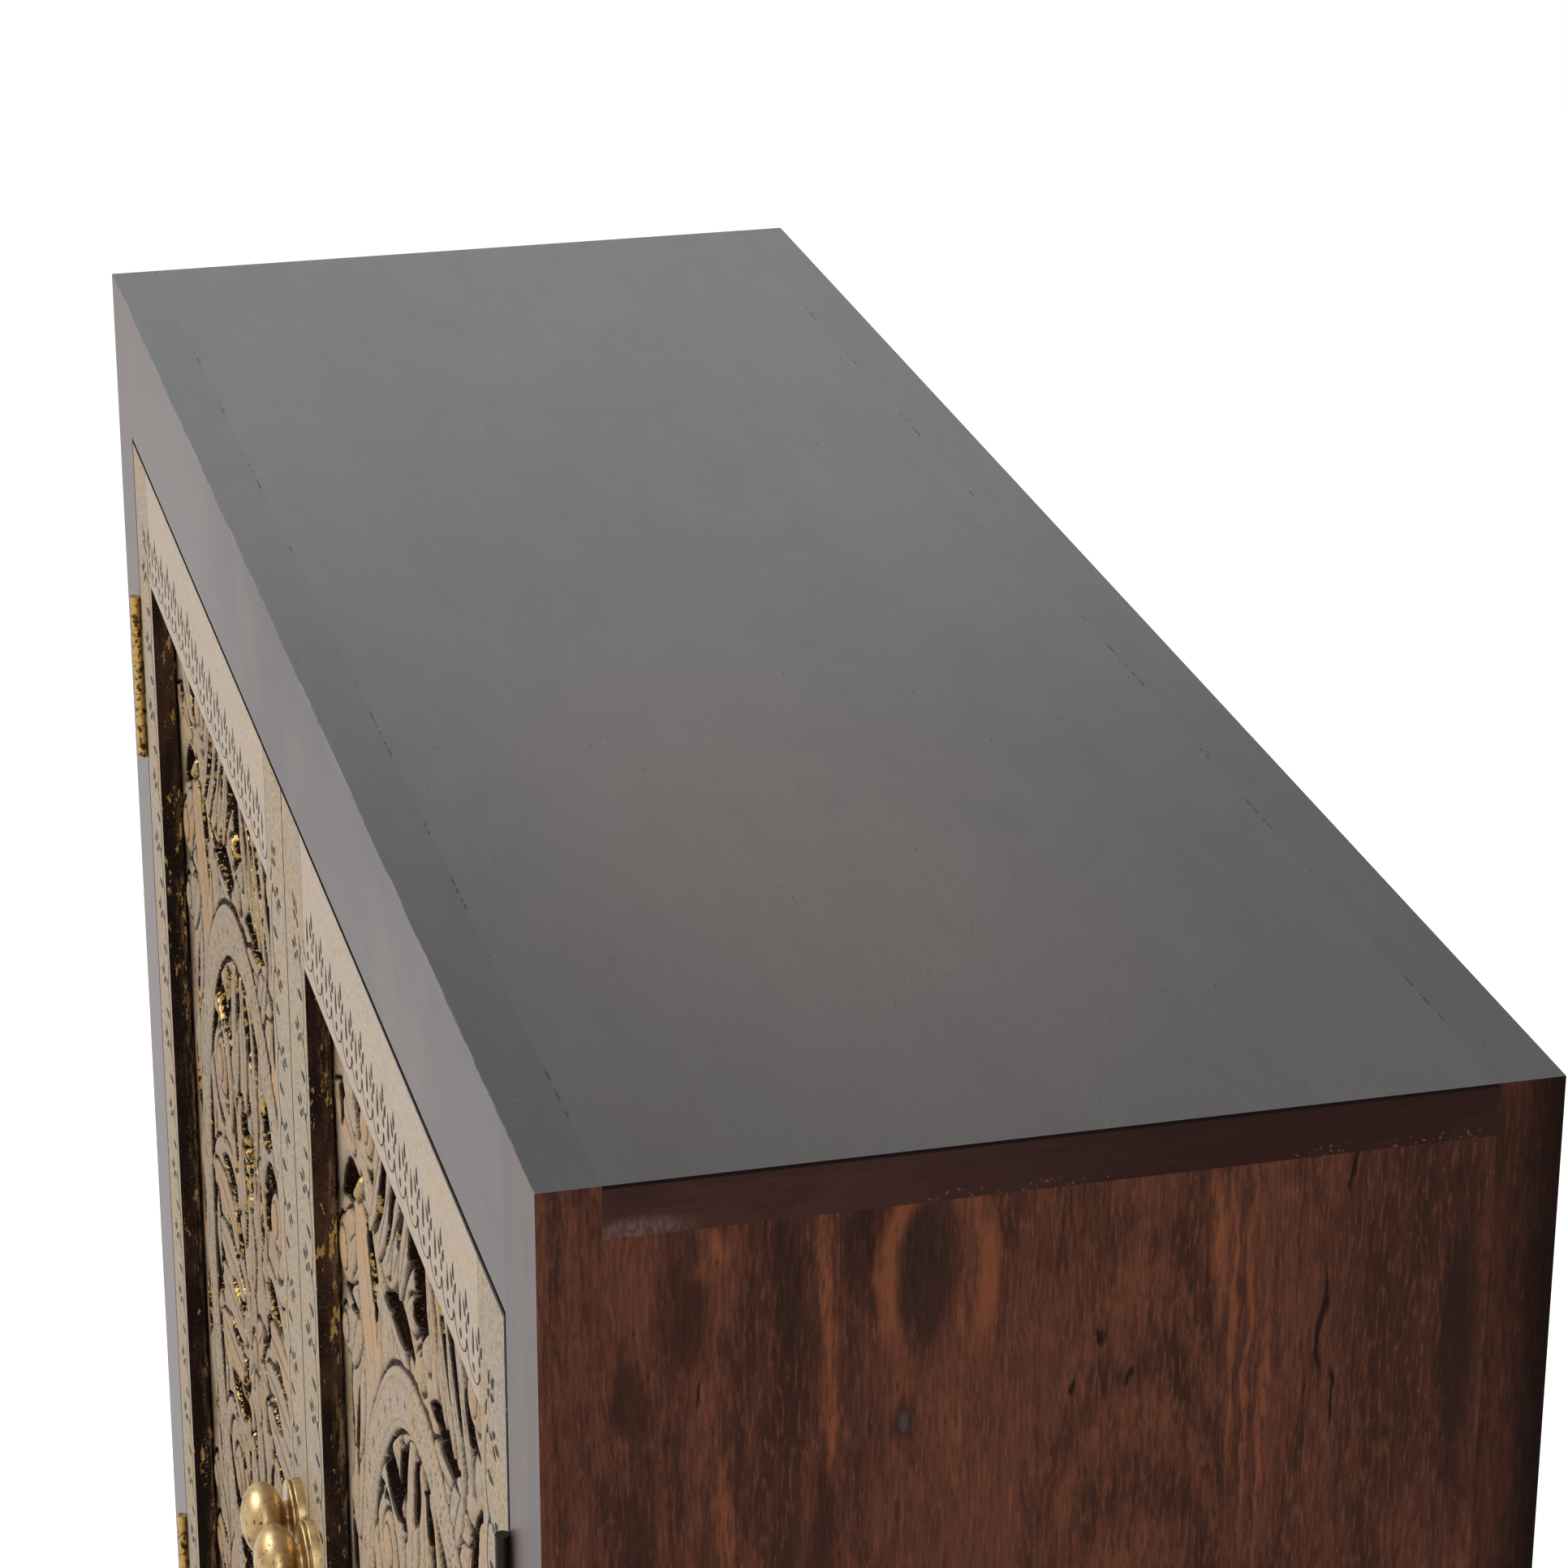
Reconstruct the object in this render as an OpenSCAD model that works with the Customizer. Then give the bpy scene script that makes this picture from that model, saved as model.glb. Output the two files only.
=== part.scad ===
// Two-door cabinet with carved and pierced door panels, butt hinges and round knobs.
// x runs along the front from the middle, y from the front to the back, z up from the floor.
// Inside the modules y is measured from the front of the face frame: at() moves it to its place.
// Everything is drawn for the left side, and the right side is its mirror image.

/* [Cabinet] */
// Width of the cabinet
cabinet_w = 1200; // [1000:10:1500]
// Depth from the front of the face frame to the back
cabinet_d = 400; // [340:10:560]
// Height from the floor to the top
cabinet_h = 1150; // [1000:10:1400]

/* [Face frame] */
// Thickness of the face frame
face_t = 25; // [22:1:30]
// Width of each upright of the face frame
face_stile_w = 60; // [50:1:80]
// Height of the rail above the doors
face_top_rail_h = 80; // [60:1:110]
// Height of the rail below the doors
face_bottom_rail_h = 80; // [60:1:110]

/* [Case boards] */
// Thickness of the top board
top_board_t = 22; // [16:1:30]
// Thickness of each side board
side_board_t = 22; // [16:1:30]
// Thickness of the bottom board
bottom_board_t = 18; // [14:1:25]
// How far the bottom board stands above the lower rail, as a stop for the doors
bottom_board_lip = 10; // [6:1:16]
// Depth of the grooves that hold the bottom board in the sides
housing_depth = 6; // [3:1:10]

/* [Back frame] */
// Width of each back post
back_post_w = 45; // [35:1:70]
// Thickness of the back posts and rails
back_frame_t = 27; // [22:1:35]
// Height of the upper back rail
back_top_rail_h = 60; // [45:1:90]
// Height of the lower back rail
back_bottom_rail_h = 90; // [60:1:110]
// Thickness of the back panel
back_panel_t = 9; // [5:1:12]
// Width of the rebate that holds the back panel
back_rebate_w = 12; // [6:1:18]

/* [Shelves] */
// Thickness of each shelf
shelf_t = 20; // [16:1:25]
// Height of the free space under the lower shelf
lower_bay_h = 306; // [220:1:340]
// Height of the free space between the shelves
middle_bay_h = 306; // [220:1:340]
// How far the shelves stay behind the face frame
shelf_setback = 25; // [15:1:60]
// Thickness of the cleats that carry the shelves
cleat_t = 16; // [14:1:22]
// Height of the cleats
cleat_h = 22; // [20:1:30]
// Distance of the cleat screws from the ends of the cleat
cleat_screw_inset = 45; // [25:1:80]

/* [Doors] */
// Width of the door uprights
door_stile_w = 54; // [46:1:70]
// Height of the door's top rail
door_top_rail_h = 70; // [50:1:90]
// Height of the door's bottom rail
door_bottom_rail_h = 70; // [50:1:90]
// How far the carved panel lies behind the front of the door
panel_recess = 11; // [8:0.5:13]
// Thickness of the dark board behind the carved panel
backing_t = 3; // [2:0.5:4]
// Width of the rebate that holds the panel and its backing
panel_rebate_w = 8; // [5:1:12]

/* [Joinery] */
// Thickness of the tenons
tenon_t = 7; // [5:0.5:8]
// Length of the tenons
tenon_l = 32; // [18:1:38]
// How much narrower the tenon is than its rail, at each edge
tenon_shoulder = 12; // [8:1:16]
// How far the tenons lie behind the front of their piece
tenon_inset = 3; // [2:0.5:3.5]

/* [Feet] */
// Height of the feet with their glides
foot_h = 80; // [50:5:140]
// Width of each foot at its top
foot_top_w = 70; // [60:1:90]
// Width of each foot at its bottom
foot_bottom_w = 54; // [40:1:60]
// How far the feet stand inside the outline of the case
foot_inset = 6; // [2:1:12]
// Width of the blocks inside the case that the feet are bolted to
corner_block_w = 70; // [60:1:90]
// Height of those blocks
corner_block_h = 36; // [25:1:45]
// Radius of the foot bolts
foot_bolt_r = 4; // [3:0.5:6]
// Length of the foot bolts
foot_bolt_l = 70; // [50:5:80]
// Radius of the glides
glide_r = 12; // [8:1:18]
// Thickness of the glides
glide_t = 3; // [2:0.5:5]

/* [Hinges] */
// Length of each hinge
hinge_l = 100; // [75:5:120]
// Distance from the end of the door to the nearest hinge
hinge_inset = 95; // [60:5:150]
// Number of knuckles of each hinge
knuckle_count = 5; // [3:2:7]
// Radius of the knuckles
knuckle_r = 3; // [2.5:0.25:4]
// Radius of the hinge pins
pin_r = 1.5; // [1:0.25:1.75]
// Thickness of the hinge leaves
leaf_t = 1.2; // [1:0.1:1.5]
// Width of the hinge leaves
leaf_w = 21.5; // [18:0.5:23]
// Number of screws in each leaf
leaf_screws = 3; // [2:1:4]
// Distance between neighbouring screws of a leaf
leaf_screw_pitch = 32; // [20:1:34]

/* [Wood screws] */
// Radius of a screw's head
screw_head_r = 3; // [2.5:0.1:3.4]
// Radius of a screw's shank
screw_r = 1.5; // [1.2:0.1:1.8]
// Length of the hinge screws
hinge_screw_l = 20; // [12:1:25]
// Length of the cleat screws
cleat_screw_l = 30; // [24:1:34]
// Length of the screws in the door stop
stop_screw_l = 34; // [26:1:40]
// Length of the strike screws
strike_screw_l = 12; // [8:1:16]

/* [Knobs] */
// Distance from the meeting edge of the door to the knob
knob_inset = 20.5; // [20.5:0.5:30]
// Height of the knobs above the floor
knob_z = 657; // [480:1:800]
// Radius of the ball of the knob
knob_r = 19.5; // [15:0.5:20]
// Thickness of the flattened ball
knob_t = 23; // [18:0.5:28]
// Radius of the neck between the ball and its base
neck_r = 8; // [6:0.5:10]
// Length of the neck that shows
neck_l = 1.5; // [1:0.5:8]
// Radius of the front flange of the round base
rosette_r = 19; // [17:0.5:20]
// Radius of the drum behind that flange
drum_r = 19; // [15:0.5:20]
// Radius of the groove between the two
groove_r = 17.5; // [13:0.5:18]
// Thickness of the flange
flange_t = 2; // [1.5:0.5:5]
// Width of the groove
groove_t = 0.5; // [0.5:0.5:3]
// Thickness of the drum
drum_t = 5; // [4:0.5:9]
// Radius of the knob bolts
knob_bolt_r = 2.5; // [2:0.25:3]
// Radius of the head of the knob bolts
bolt_head_r = 5; // [4:0.25:6]
// Thickness of the head of the knob bolts
bolt_head_t = 3; // [2:0.5:4]

/* [Door stop and catches] */
// Thickness of the strip behind the top rail
stop_t = 18; // [14:1:25]
// How far the strip reaches up behind the rail
stop_up = 28; // [20:1:34]
// How far the strip hangs below the rail
stop_down = 16; // [14:1:22]
// Number of screws that hold the strip
stop_screws = 4; // [3:1:6]
// Radius of the catch magnets
magnet_r = 5; // [4:0.5:5.5]
// Length of the catch magnets
magnet_l = 12; // [8:1:13]
// Distance of the magnets from the meeting edge of the door
magnet_inset = 26; // [20:1:32]
// Radius of the strike discs
strike_r = 6; // [5:0.25:6.5]
// Thickness of the strike discs
strike_t = 1.5; // [1.2:0.1:2]

/* [Carving] */
// Distance from the ring to the door uprights
ring_side_gap = 24; // [16:1:36]
// Distance from the ring to the door rails
ring_end_gap = 117; // [95:1:135]
// Width of the ring
ring_band = 32; // [24:1:40]
// Width of the plain rim around the carving
carving_rim = 4; // [3:0.5:8]
// Width of the grooves that outline the ring
ring_groove_w = 3; // [1.5:0.5:5]
// Depth of those grooves
ring_groove_t = 3; // [1:0.5:5]

/* [Clearances] */
// Gap around the doors
door_gap = 2; // [1.5:0.1:3]
// Gap between the two doors
meeting_gap = 2; // [2:0.1:4]
// Gap between the closed doors and their stop
stop_gap = 0.3; // [0.2:0.1:0.6]
// Play of a tenon in its mortise, at each face
tenon_gap = 0.2; // [0.1:0.05:0.4]
// Play of the panels and backings in their rebates, at each edge
panel_gap = 0.5; // [0.3:0.1:1]
// Play of the shelves between the sides
shelf_gap = 0.8; // [0.3:0.1:0.9]
// Gap between the two leaves of a closed hinge
leaf_gap = 0.4; // [0.2:0.1:0.6]
// Gap between neighbouring knuckles, and between a leaf and the other leaf's knuckles
knuckle_gap = 0.4; // [0.3:0.1:0.6]
// Play of pins, screws, bolts and magnets in their holes, at each side
fit_gap = 0.05; // [0.02:0.01:0.1]

/* [Hidden] */
$fn = 48;

eps = 0.01;
half_w = cabinet_w / 2;

// The origin is on the floor under the middle of the whole cabinet, knobs included.
knob_reach = drum_t + groove_t + flange_t + neck_l + knob_t;
face_y = -(cabinet_d - knob_reach) / 2;

// Case
body_z = foot_h;
side_in_x = half_w - side_board_t;
board_back_y = cabinet_d - back_frame_t;
face_in_x = half_w - face_stile_w;
rail_top_z = body_z + face_bottom_rail_h;
rail_under_z = cabinet_h - face_top_rail_h;
floor_z = rail_top_z + bottom_board_lip;
lower_shelf_z = floor_z + lower_bay_h;
upper_shelf_z = lower_shelf_z + shelf_t + middle_bay_h;
post_in_x = half_w - back_post_w;
back_open_low_z = body_z + back_bottom_rail_h;
back_open_high_z = cabinet_h - back_top_rail_h;
shelf_front_y = face_t + shelf_setback;

// Doors, with x measured as on the left side
door_t = face_t - stop_gap;
door_out_x = -face_in_x + door_gap;
door_in_x = -meeting_gap / 2;
door_low_z = rail_top_z + door_gap;
door_high_z = rail_under_z - door_gap;
open_out_x = door_out_x + door_stile_w;
open_in_x = door_in_x - door_stile_w;
open_low_z = door_low_z + door_bottom_rail_h;
open_high_z = door_high_z - door_top_rail_h;
open_w = open_in_x - open_out_x;
open_h = open_high_z - open_low_z;
panel_x = (open_in_x + open_out_x) / 2;
panel_z = (open_high_z + open_low_z) / 2;
panel_t = door_t - panel_recess - backing_t;

// Hinges
hinge_x = -face_in_x + door_gap / 2;
hinge_y = -knuckle_r;
leaf_sink = leaf_t - (door_gap - leaf_gap) / 2;
hinge_low_zs = [door_low_z + hinge_inset, door_high_z - hinge_inset - hinge_l];
knuckle_l = hinge_l / knuckle_count;
head_t = screw_head_r - screw_r;

// Knobs and catches
knob_x = door_in_x - knob_inset;
magnet_x = door_in_x - magnet_inset;
magnet_z = (door_high_z + rail_under_z - stop_down) / 2;

// Carving, measured from the middle of its panel
ring_a = open_w / 2 - ring_side_gap;
ring_b = open_h / 2 - ring_end_gap;
// The piercings were drawn for an opening of this size, and follow it when it changes
drawn_w = 429;
drawn_h = 766;
stretch = [open_w / drawn_w, open_h / drawn_h];
blade_steps = 8;

oak_dark = [0.29, 0.16, 0.12];
top_dark = [0.27, 0.26, 0.27];
inside_wood = [0.36, 0.23, 0.17];
paint_cream = [0.72, 0.66, 0.54];
backing_dark = [0.10, 0.06, 0.05];
old_brass = [0.66, 0.52, 0.26];
knob_gold = [0.80, 0.60, 0.28];
steel = [0.66, 0.66, 0.68];
felt_black = [0.12, 0.12, 0.12];

module at(x, y, z) {
    translate([x, face_y + y, z]) children();
}

// A board between two corners, with y measured from the face
module board(low, high) {
    at(low[0], low[1], low[2]) cube(high - low);
}

module both_sides() {
    children();
    mirror([1, 0, 0]) children();
}

module right_side() {
    mirror([1, 0, 0]) children();
}

// A round bar along y, from front to back
module bar_y(x, y, z, r, l) {
    at(x, y, z) rotate([-90, 0, 0]) cylinder(r = r, h = l);
}

// Tenon of a rail, or its mortise when it is grown by the tenon's play.
// x0 is the shoulder, and dir says which way the tenon points.
module tenon(x0, dir, low_z, high_z, grow) {
    x1 = x0 + dir * (tenon_l + (grow > 0 ? 1 : 0));
    board(
        [min(x0, x1), tenon_inset - grow, low_z + tenon_shoulder - grow],
        [max(x0, x1), tenon_inset + tenon_t + grow, high_z - tenon_shoulder + grow]
    );
}

// A countersunk wood screw along +x with its head's face at the origin.
// With grow it is the hole for that screw.
module screw_shape(l, grow) {
    rotate([0, 90, 0])
        rotate_extrude()
            polygon([
                [0, 0], [screw_head_r + grow, 0], [screw_r + grow, head_t],
                [screw_r + grow, l - screw_r], [0, l + grow]
            ]);
}

// Case

module top_board() {
    color(top_dark)
        board([-half_w, face_t, cabinet_h - top_board_t], [half_w, board_back_y, cabinet_h]);
}

module front_left_stile() {
    color(oak_dark)
        difference() {
            board([-half_w, 0, body_z], [-face_in_x, face_t, cabinet_h]);
            tenon(-face_in_x, -1, rail_under_z, cabinet_h, tenon_gap);
            tenon(-face_in_x, -1, body_z, rail_top_z, tenon_gap);
            for (z = hinge_low_zs)
                board(
                    [-face_in_x - leaf_sink, -eps, z],
                    [-face_in_x + eps, leaf_w + knuckle_gap, z + hinge_l]
                );
            frame_screws(fit_gap);
        }
}

module front_right_stile() {
    right_side() front_left_stile();
}

module front_top_rail() {
    color(oak_dark)
        difference() {
            union() {
                board([-face_in_x, 0, rail_under_z], [face_in_x, face_t, cabinet_h]);
                both_sides() tenon(-face_in_x, -1, rail_under_z, cabinet_h, 0);
            }
            stop_screw_set(fit_gap);
        }
}

module front_bottom_rail() {
    color(oak_dark) {
        board([-face_in_x, 0, body_z], [face_in_x, face_t, rail_top_z]);
        both_sides() tenon(-face_in_x, -1, body_z, rail_top_z, 0);
    }
}

module left_side_board() {
    color(oak_dark)
        difference() {
            board([-half_w, face_t, body_z], [-side_in_x, board_back_y, cabinet_h - top_board_t]);
            board(
                [-side_in_x - housing_depth, face_t - eps, floor_z - bottom_board_t],
                [-side_in_x + eps, board_back_y + eps, floor_z]
            );
            cleat_screw_set(fit_gap);
        }
}

module right_side_board() {
    right_side() left_side_board();
}

module bottom_board() {
    x = side_in_x + housing_depth;
    color(inside_wood)
        board([-x, face_t, floor_z - bottom_board_t], [x, board_back_y, floor_z]);
}

// Back frame, with its tenons in the middle of its thickness

module back_tenon(high_z, low_z, grow) {
    mid_y = cabinet_d - (back_frame_t - back_panel_t) / 2;
    board(
        [-post_in_x - tenon_l - (grow > 0 ? 1 : 0), mid_y - tenon_t / 2 - grow, low_z + tenon_shoulder - grow],
        [-post_in_x + eps, mid_y + tenon_t / 2 + grow, high_z - tenon_shoulder + grow]
    );
}

module back_rebate() {
    x = post_in_x + back_rebate_w;
    board(
        [-x, board_back_y - eps, back_open_low_z - back_rebate_w],
        [x, board_back_y + back_panel_t, back_open_high_z + back_rebate_w]
    );
}

module back_left_post() {
    color(oak_dark)
        difference() {
            board([-half_w, board_back_y, body_z], [-post_in_x, cabinet_d, cabinet_h]);
            back_rebate();
            back_tenon(cabinet_h, back_open_high_z, tenon_gap);
            back_tenon(back_open_low_z, body_z, tenon_gap);
        }
}

module back_right_post() {
    right_side() back_left_post();
}

module back_rail(high_z, low_z) {
    color(oak_dark)
        difference() {
            union() {
                board([-post_in_x, board_back_y, low_z], [post_in_x, cabinet_d, high_z]);
                both_sides() back_tenon(high_z, low_z, 0);
            }
            back_rebate();
        }
}

module back_top_rail() {
    back_rail(cabinet_h, back_open_high_z);
}

module back_bottom_rail() {
    back_rail(back_open_low_z, body_z);
}

module back_panel() {
    x = post_in_x + back_rebate_w - panel_gap;
    color(inside_wood)
        board(
            [-x, board_back_y, back_open_low_z - back_rebate_w + panel_gap],
            [x, board_back_y + back_panel_t, back_open_high_z + back_rebate_w - panel_gap]
        );
}

// Shelves

module shelf(z) {
    x = side_in_x - shelf_gap;
    color(inside_wood)
        board([-x, shelf_front_y, z], [x, board_back_y - shelf_gap, z + shelf_t]);
}

module lower_shelf() {
    shelf(lower_shelf_z);
}

module upper_shelf() {
    shelf(upper_shelf_z);
}

module shelf_cleats() {
    color(inside_wood)
        both_sides()
            difference() {
                for (z = [lower_shelf_z, upper_shelf_z])
                    board(
                        [-side_in_x, shelf_front_y, z - cleat_h],
                        [-side_in_x + cleat_t, board_back_y - shelf_gap, z]
                    );
                cleat_screw_set(fit_gap);
            }
}

module cleat_screw_set(grow) {
    ys = [shelf_front_y + cleat_screw_inset, board_back_y - shelf_gap - cleat_screw_inset];
    for (z = [lower_shelf_z, upper_shelf_z], y = ys)
        at(-side_in_x + cleat_t, y, z - cleat_h / 2)
            mirror([1, 0, 0]) screw_shape(cleat_screw_l, grow);
}

module cleat_screws() {
    color(steel) both_sides() cleat_screw_set(0);
}

// Door stop and catches

module door_stop_strip() {
    color(inside_wood)
        difference() {
            board(
                [-side_in_x, face_t, rail_under_z - stop_down],
                [side_in_x, face_t + stop_t, rail_under_z + stop_up]
            );
            stop_screw_set(fit_gap);
            both_sides() bar_y(-magnet_x, face_t - eps, magnet_z, magnet_r + fit_gap, magnet_l);
        }
}

// The screws run forwards through the strip into the rail
module stop_screw_set(grow) {
    pitch = 2 * face_in_x / stop_screws;
    for (i = [0:stop_screws - 1])
        at(-face_in_x + pitch * (i + 0.5), face_t + stop_t, rail_under_z + stop_up / 2)
            rotate([0, 0, -90]) screw_shape(stop_screw_l, grow);
}

module stop_strip_screws() {
    color(steel) stop_screw_set(0);
}

module catch_magnets() {
    color(steel) both_sides() bar_y(-magnet_x, face_t, magnet_z, magnet_r, magnet_l - fit_gap);
}

// Feet. Each stands near a corner of the case, and is bolted to a block inside it.

foot_mid_x = half_w - foot_inset - foot_top_w / 2;
foot_front_y = foot_inset + foot_top_w / 2;
foot_back_y = cabinet_d - foot_inset - foot_top_w / 2;
bolt_top_z = body_z + corner_block_h - 4;

module corner_blocks() {
    w = corner_block_w;
    color(inside_wood)
        both_sides()
            difference() {
                for (y = [face_t, board_back_y - w])
                    board([-side_in_x, y, body_z], [-side_in_x + w, y + w, body_z + corner_block_h]);
                foot_bolt_pair(fit_gap);
            }
}

module foot_bolt_pair(grow) {
    for (y = [foot_front_y, foot_back_y])
        at(-foot_mid_x, y, bolt_top_z - foot_bolt_l - grow)
            cylinder(r = foot_bolt_r + grow, h = foot_bolt_l + 2 * grow);
}

module foot_bolts() {
    color(steel) both_sides() foot_bolt_pair(0);
}

// One wedge of the foot: its taper seen from the front
module foot_taper() {
    h = body_z - glide_t;
    translate([0, foot_top_w / 2, 0])
        rotate([90, 0, 0])
            linear_extrude(foot_top_w)
                polygon([
                    [-foot_bottom_w / 2, 0], [foot_bottom_w / 2, 0],
                    [foot_top_w / 2, h], [-foot_top_w / 2, h]
                ]);
}

module left_foot(y) {
    color(oak_dark)
        difference() {
            at(-foot_mid_x, y, glide_t)
                intersection() {
                    foot_taper();
                    rotate([0, 0, 90]) foot_taper();
                }
            foot_bolt_pair(fit_gap);
        }
}

module front_left_foot() {
    left_foot(foot_front_y);
}

module front_right_foot() {
    right_side() left_foot(foot_front_y);
}

module back_left_foot() {
    left_foot(foot_back_y);
}

module back_right_foot() {
    right_side() left_foot(foot_back_y);
}

module foot_glides() {
    color(felt_black)
        both_sides()
            for (y = [foot_front_y, foot_back_y])
                at(-foot_mid_x, y, 0) cylinder(r = glide_r, h = glide_t);
}

// Hinges, drawn for the left side. The odd knuckles belong to the frame's leaf.

// Leaf with its knuckles, on one side of the pin. side is -1 for the frame and 1 for the door.
module hinge_leaf(z, side, first) {
    inner = leaf_gap / 2;
    difference() {
        union() {
            for (s = [min(side * inner, side * (inner + leaf_t))])
                board(
                    [hinge_x + s, knuckle_gap, z],
                    [hinge_x + s + leaf_t, leaf_w, z + hinge_l]
                );
            for (i = [first:2:knuckle_count - 1]) {
                low = z + i * knuckle_l + (i > 0 ? knuckle_gap / 2 : 0);
                high = z + (i + 1) * knuckle_l - (i < knuckle_count - 1 ? knuckle_gap / 2 : 0);
                at(hinge_x, hinge_y, low) cylinder(r = knuckle_r, h = high - low);
                s = min(side * inner, side * (inner + leaf_t));
                board([hinge_x + s, hinge_y, low], [hinge_x + s + leaf_t, knuckle_gap + eps, high]);
            }
        }
        at(hinge_x, hinge_y, z - 1) cylinder(r = pin_r + fit_gap, h = hinge_l + 2);
    }
}

module left_frame_hinge_leaves() {
    color(old_brass)
        difference() {
            for (z = hinge_low_zs) hinge_leaf(z, -1, 0);
            frame_screws(fit_gap);
        }
}

module left_door_hinge_leaves() {
    color(old_brass)
        difference() {
            for (z = hinge_low_zs) hinge_leaf(z, 1, 1);
            door_screws(fit_gap);
        }
}

module left_hinge_pins() {
    color(old_brass)
        for (z = hinge_low_zs)
            at(hinge_x, hinge_y, z) cylinder(r = pin_r, h = hinge_l);
}

// Screws of the left hinges: side is -1 into the frame and 1 into the door
module hinge_screw_set(side, grow) {
    span = (leaf_screws - 1) * leaf_screw_pitch;
    for (z = hinge_low_zs, i = [0:leaf_screws - 1])
        at(
            hinge_x + side * leaf_gap / 2,
            leaf_w / 2 + (i % 2 == 0 ? 3 : -3),
            z + hinge_l / 2 - span / 2 + i * leaf_screw_pitch
        )
            mirror([side < 0 ? 1 : 0, 0, 0]) screw_shape(hinge_screw_l, grow);
}

module frame_screws(grow) {
    hinge_screw_set(-1, grow);
}

module door_screws(grow) {
    hinge_screw_set(1, grow);
}

module frame_hinge_screws() {
    color(old_brass) both_sides() frame_screws(0);
}

module left_door_hinge_screws() {
    color(old_brass) door_screws(0);
}

module right_frame_hinge_leaves() {
    right_side() left_frame_hinge_leaves();
}

module right_door_hinge_leaves() {
    right_side() left_door_hinge_leaves();
}

module right_hinge_pins() {
    right_side() left_hinge_pins();
}

module right_door_hinge_screws() {
    right_side() left_door_hinge_screws();
}

// Doors

// The rebate behind the opening of the door, for the carved panel and its backing
module door_rebate() {
    w = panel_rebate_w;
    board(
        [open_out_x - w, panel_recess, open_low_z - w],
        [open_in_x + w, door_t + eps, open_high_z + w]
    );
}

module left_door_hinge_stile() {
    color(paint_cream)
        difference() {
            board([door_out_x, 0, door_low_z], [open_out_x, door_t, door_high_z]);
            door_rebate();
            tenon(open_out_x, -1, open_high_z, door_high_z, tenon_gap);
            tenon(open_out_x, -1, door_low_z, open_low_z, tenon_gap);
            for (z = hinge_low_zs)
                board(
                    [door_out_x - eps, -eps, z],
                    [door_out_x + leaf_sink, leaf_w + knuckle_gap, z + hinge_l]
                );
            door_screws(fit_gap);
        }
}

module left_door_meeting_stile() {
    color(paint_cream)
        difference() {
            board([open_in_x, 0, door_low_z], [door_in_x, door_t, door_high_z]);
            door_rebate();
            tenon(open_in_x, 1, open_high_z, door_high_z, tenon_gap);
            tenon(open_in_x, 1, door_low_z, open_low_z, tenon_gap);
            knob_bolt_shape(fit_gap);
            bar_y(magnet_x, door_t - strike_t, magnet_z, strike_r + fit_gap, strike_t + eps);
            strike_screw_shape(fit_gap);
        }
}

module door_rail(low_z, high_z) {
    color(paint_cream)
        difference() {
            union() {
                board([open_out_x, 0, low_z], [open_in_x, door_t, high_z]);
                tenon(open_out_x, -1, low_z, high_z, 0);
                tenon(open_in_x, 1, low_z, high_z, 0);
            }
            door_rebate();
        }
}

module left_door_top_rail() {
    door_rail(open_high_z, door_high_z);
}

module left_door_bottom_rail() {
    door_rail(door_low_z, open_low_z);
}

module left_backing_board() {
    w = panel_rebate_w - panel_gap;
    color(backing_dark)
        board(
            [open_out_x - w, door_t - backing_t, open_low_z - w],
            [open_in_x + w, door_t, open_high_z + w]
        );
}

// Knob, rosette, bolt and strike of the left door

module left_knob() {
    half_t = knob_t / 2;
    bore_l = knob_t + neck_l - 8;
    ball_mid = neck_l + half_t;
    start = asin(neck_r / knob_r);
    color(knob_gold)
        at(knob_x, -drum_t - groove_t - flange_t, knob_z)
            rotate([90, 0, 0])
                difference() {
                    rotate_extrude()
                        polygon(concat(
                            [[0, 0], [neck_r + 1.5, 0], [neck_r, 1.5]],
                            [for (i = [0:10])
                                let (a = start + (180 - start) * i / 10)
                                [knob_r * sin(a), ball_mid - half_t * cos(a)]]
                        ));
                    translate([0, 0, -eps]) cylinder(r = knob_bolt_r + fit_gap, h = bore_l);
                }
}

module left_rosette() {
    y1 = drum_t;
    y2 = y1 + groove_t;
    y3 = y2 + flange_t;
    bevel = min(1, 0.4 * flange_t);
    color(knob_gold)
        at(knob_x, 0, knob_z)
            rotate([90, 0, 0])
                rotate_extrude()
                    polygon([
                        [knob_bolt_r + fit_gap, 0], [drum_r, 0], [drum_r, y1 - bevel],
                        [drum_r - bevel, y1], [groove_r, y1], [groove_r, y2],
                        [rosette_r - bevel, y2], [rosette_r, y2 + bevel],
                        [rosette_r, y3 - bevel], [rosette_r - bevel, y3],
                        [knob_bolt_r + fit_gap, y3]
                    ]);
}

// The bolt's head lies sunk in the back of the door. With grow it is the bolt's hole.
module knob_bolt_shape(grow) {
    reach = drum_t + groove_t + flange_t + neck_l + knob_t - 10;
    head_y = door_t - bolt_head_t;
    bar_y(knob_x, -reach, knob_z, knob_bolt_r + grow, reach + head_y + eps);
    bar_y(knob_x, head_y - grow, knob_z, bolt_head_r + grow, bolt_head_t + 2 * grow);
}

module left_knob_bolt() {
    color(steel) knob_bolt_shape(0);
}

module left_strike_disc() {
    color(steel)
        difference() {
            bar_y(magnet_x, door_t - strike_t, magnet_z, strike_r, strike_t);
            strike_screw_shape(fit_gap);
        }
}

module strike_screw_shape(grow) {
    at(magnet_x, door_t, magnet_z) rotate([0, 0, -90]) screw_shape(strike_screw_l, grow);
}

module left_strike_screw() {
    color(steel) strike_screw_shape(0);
}

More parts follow.
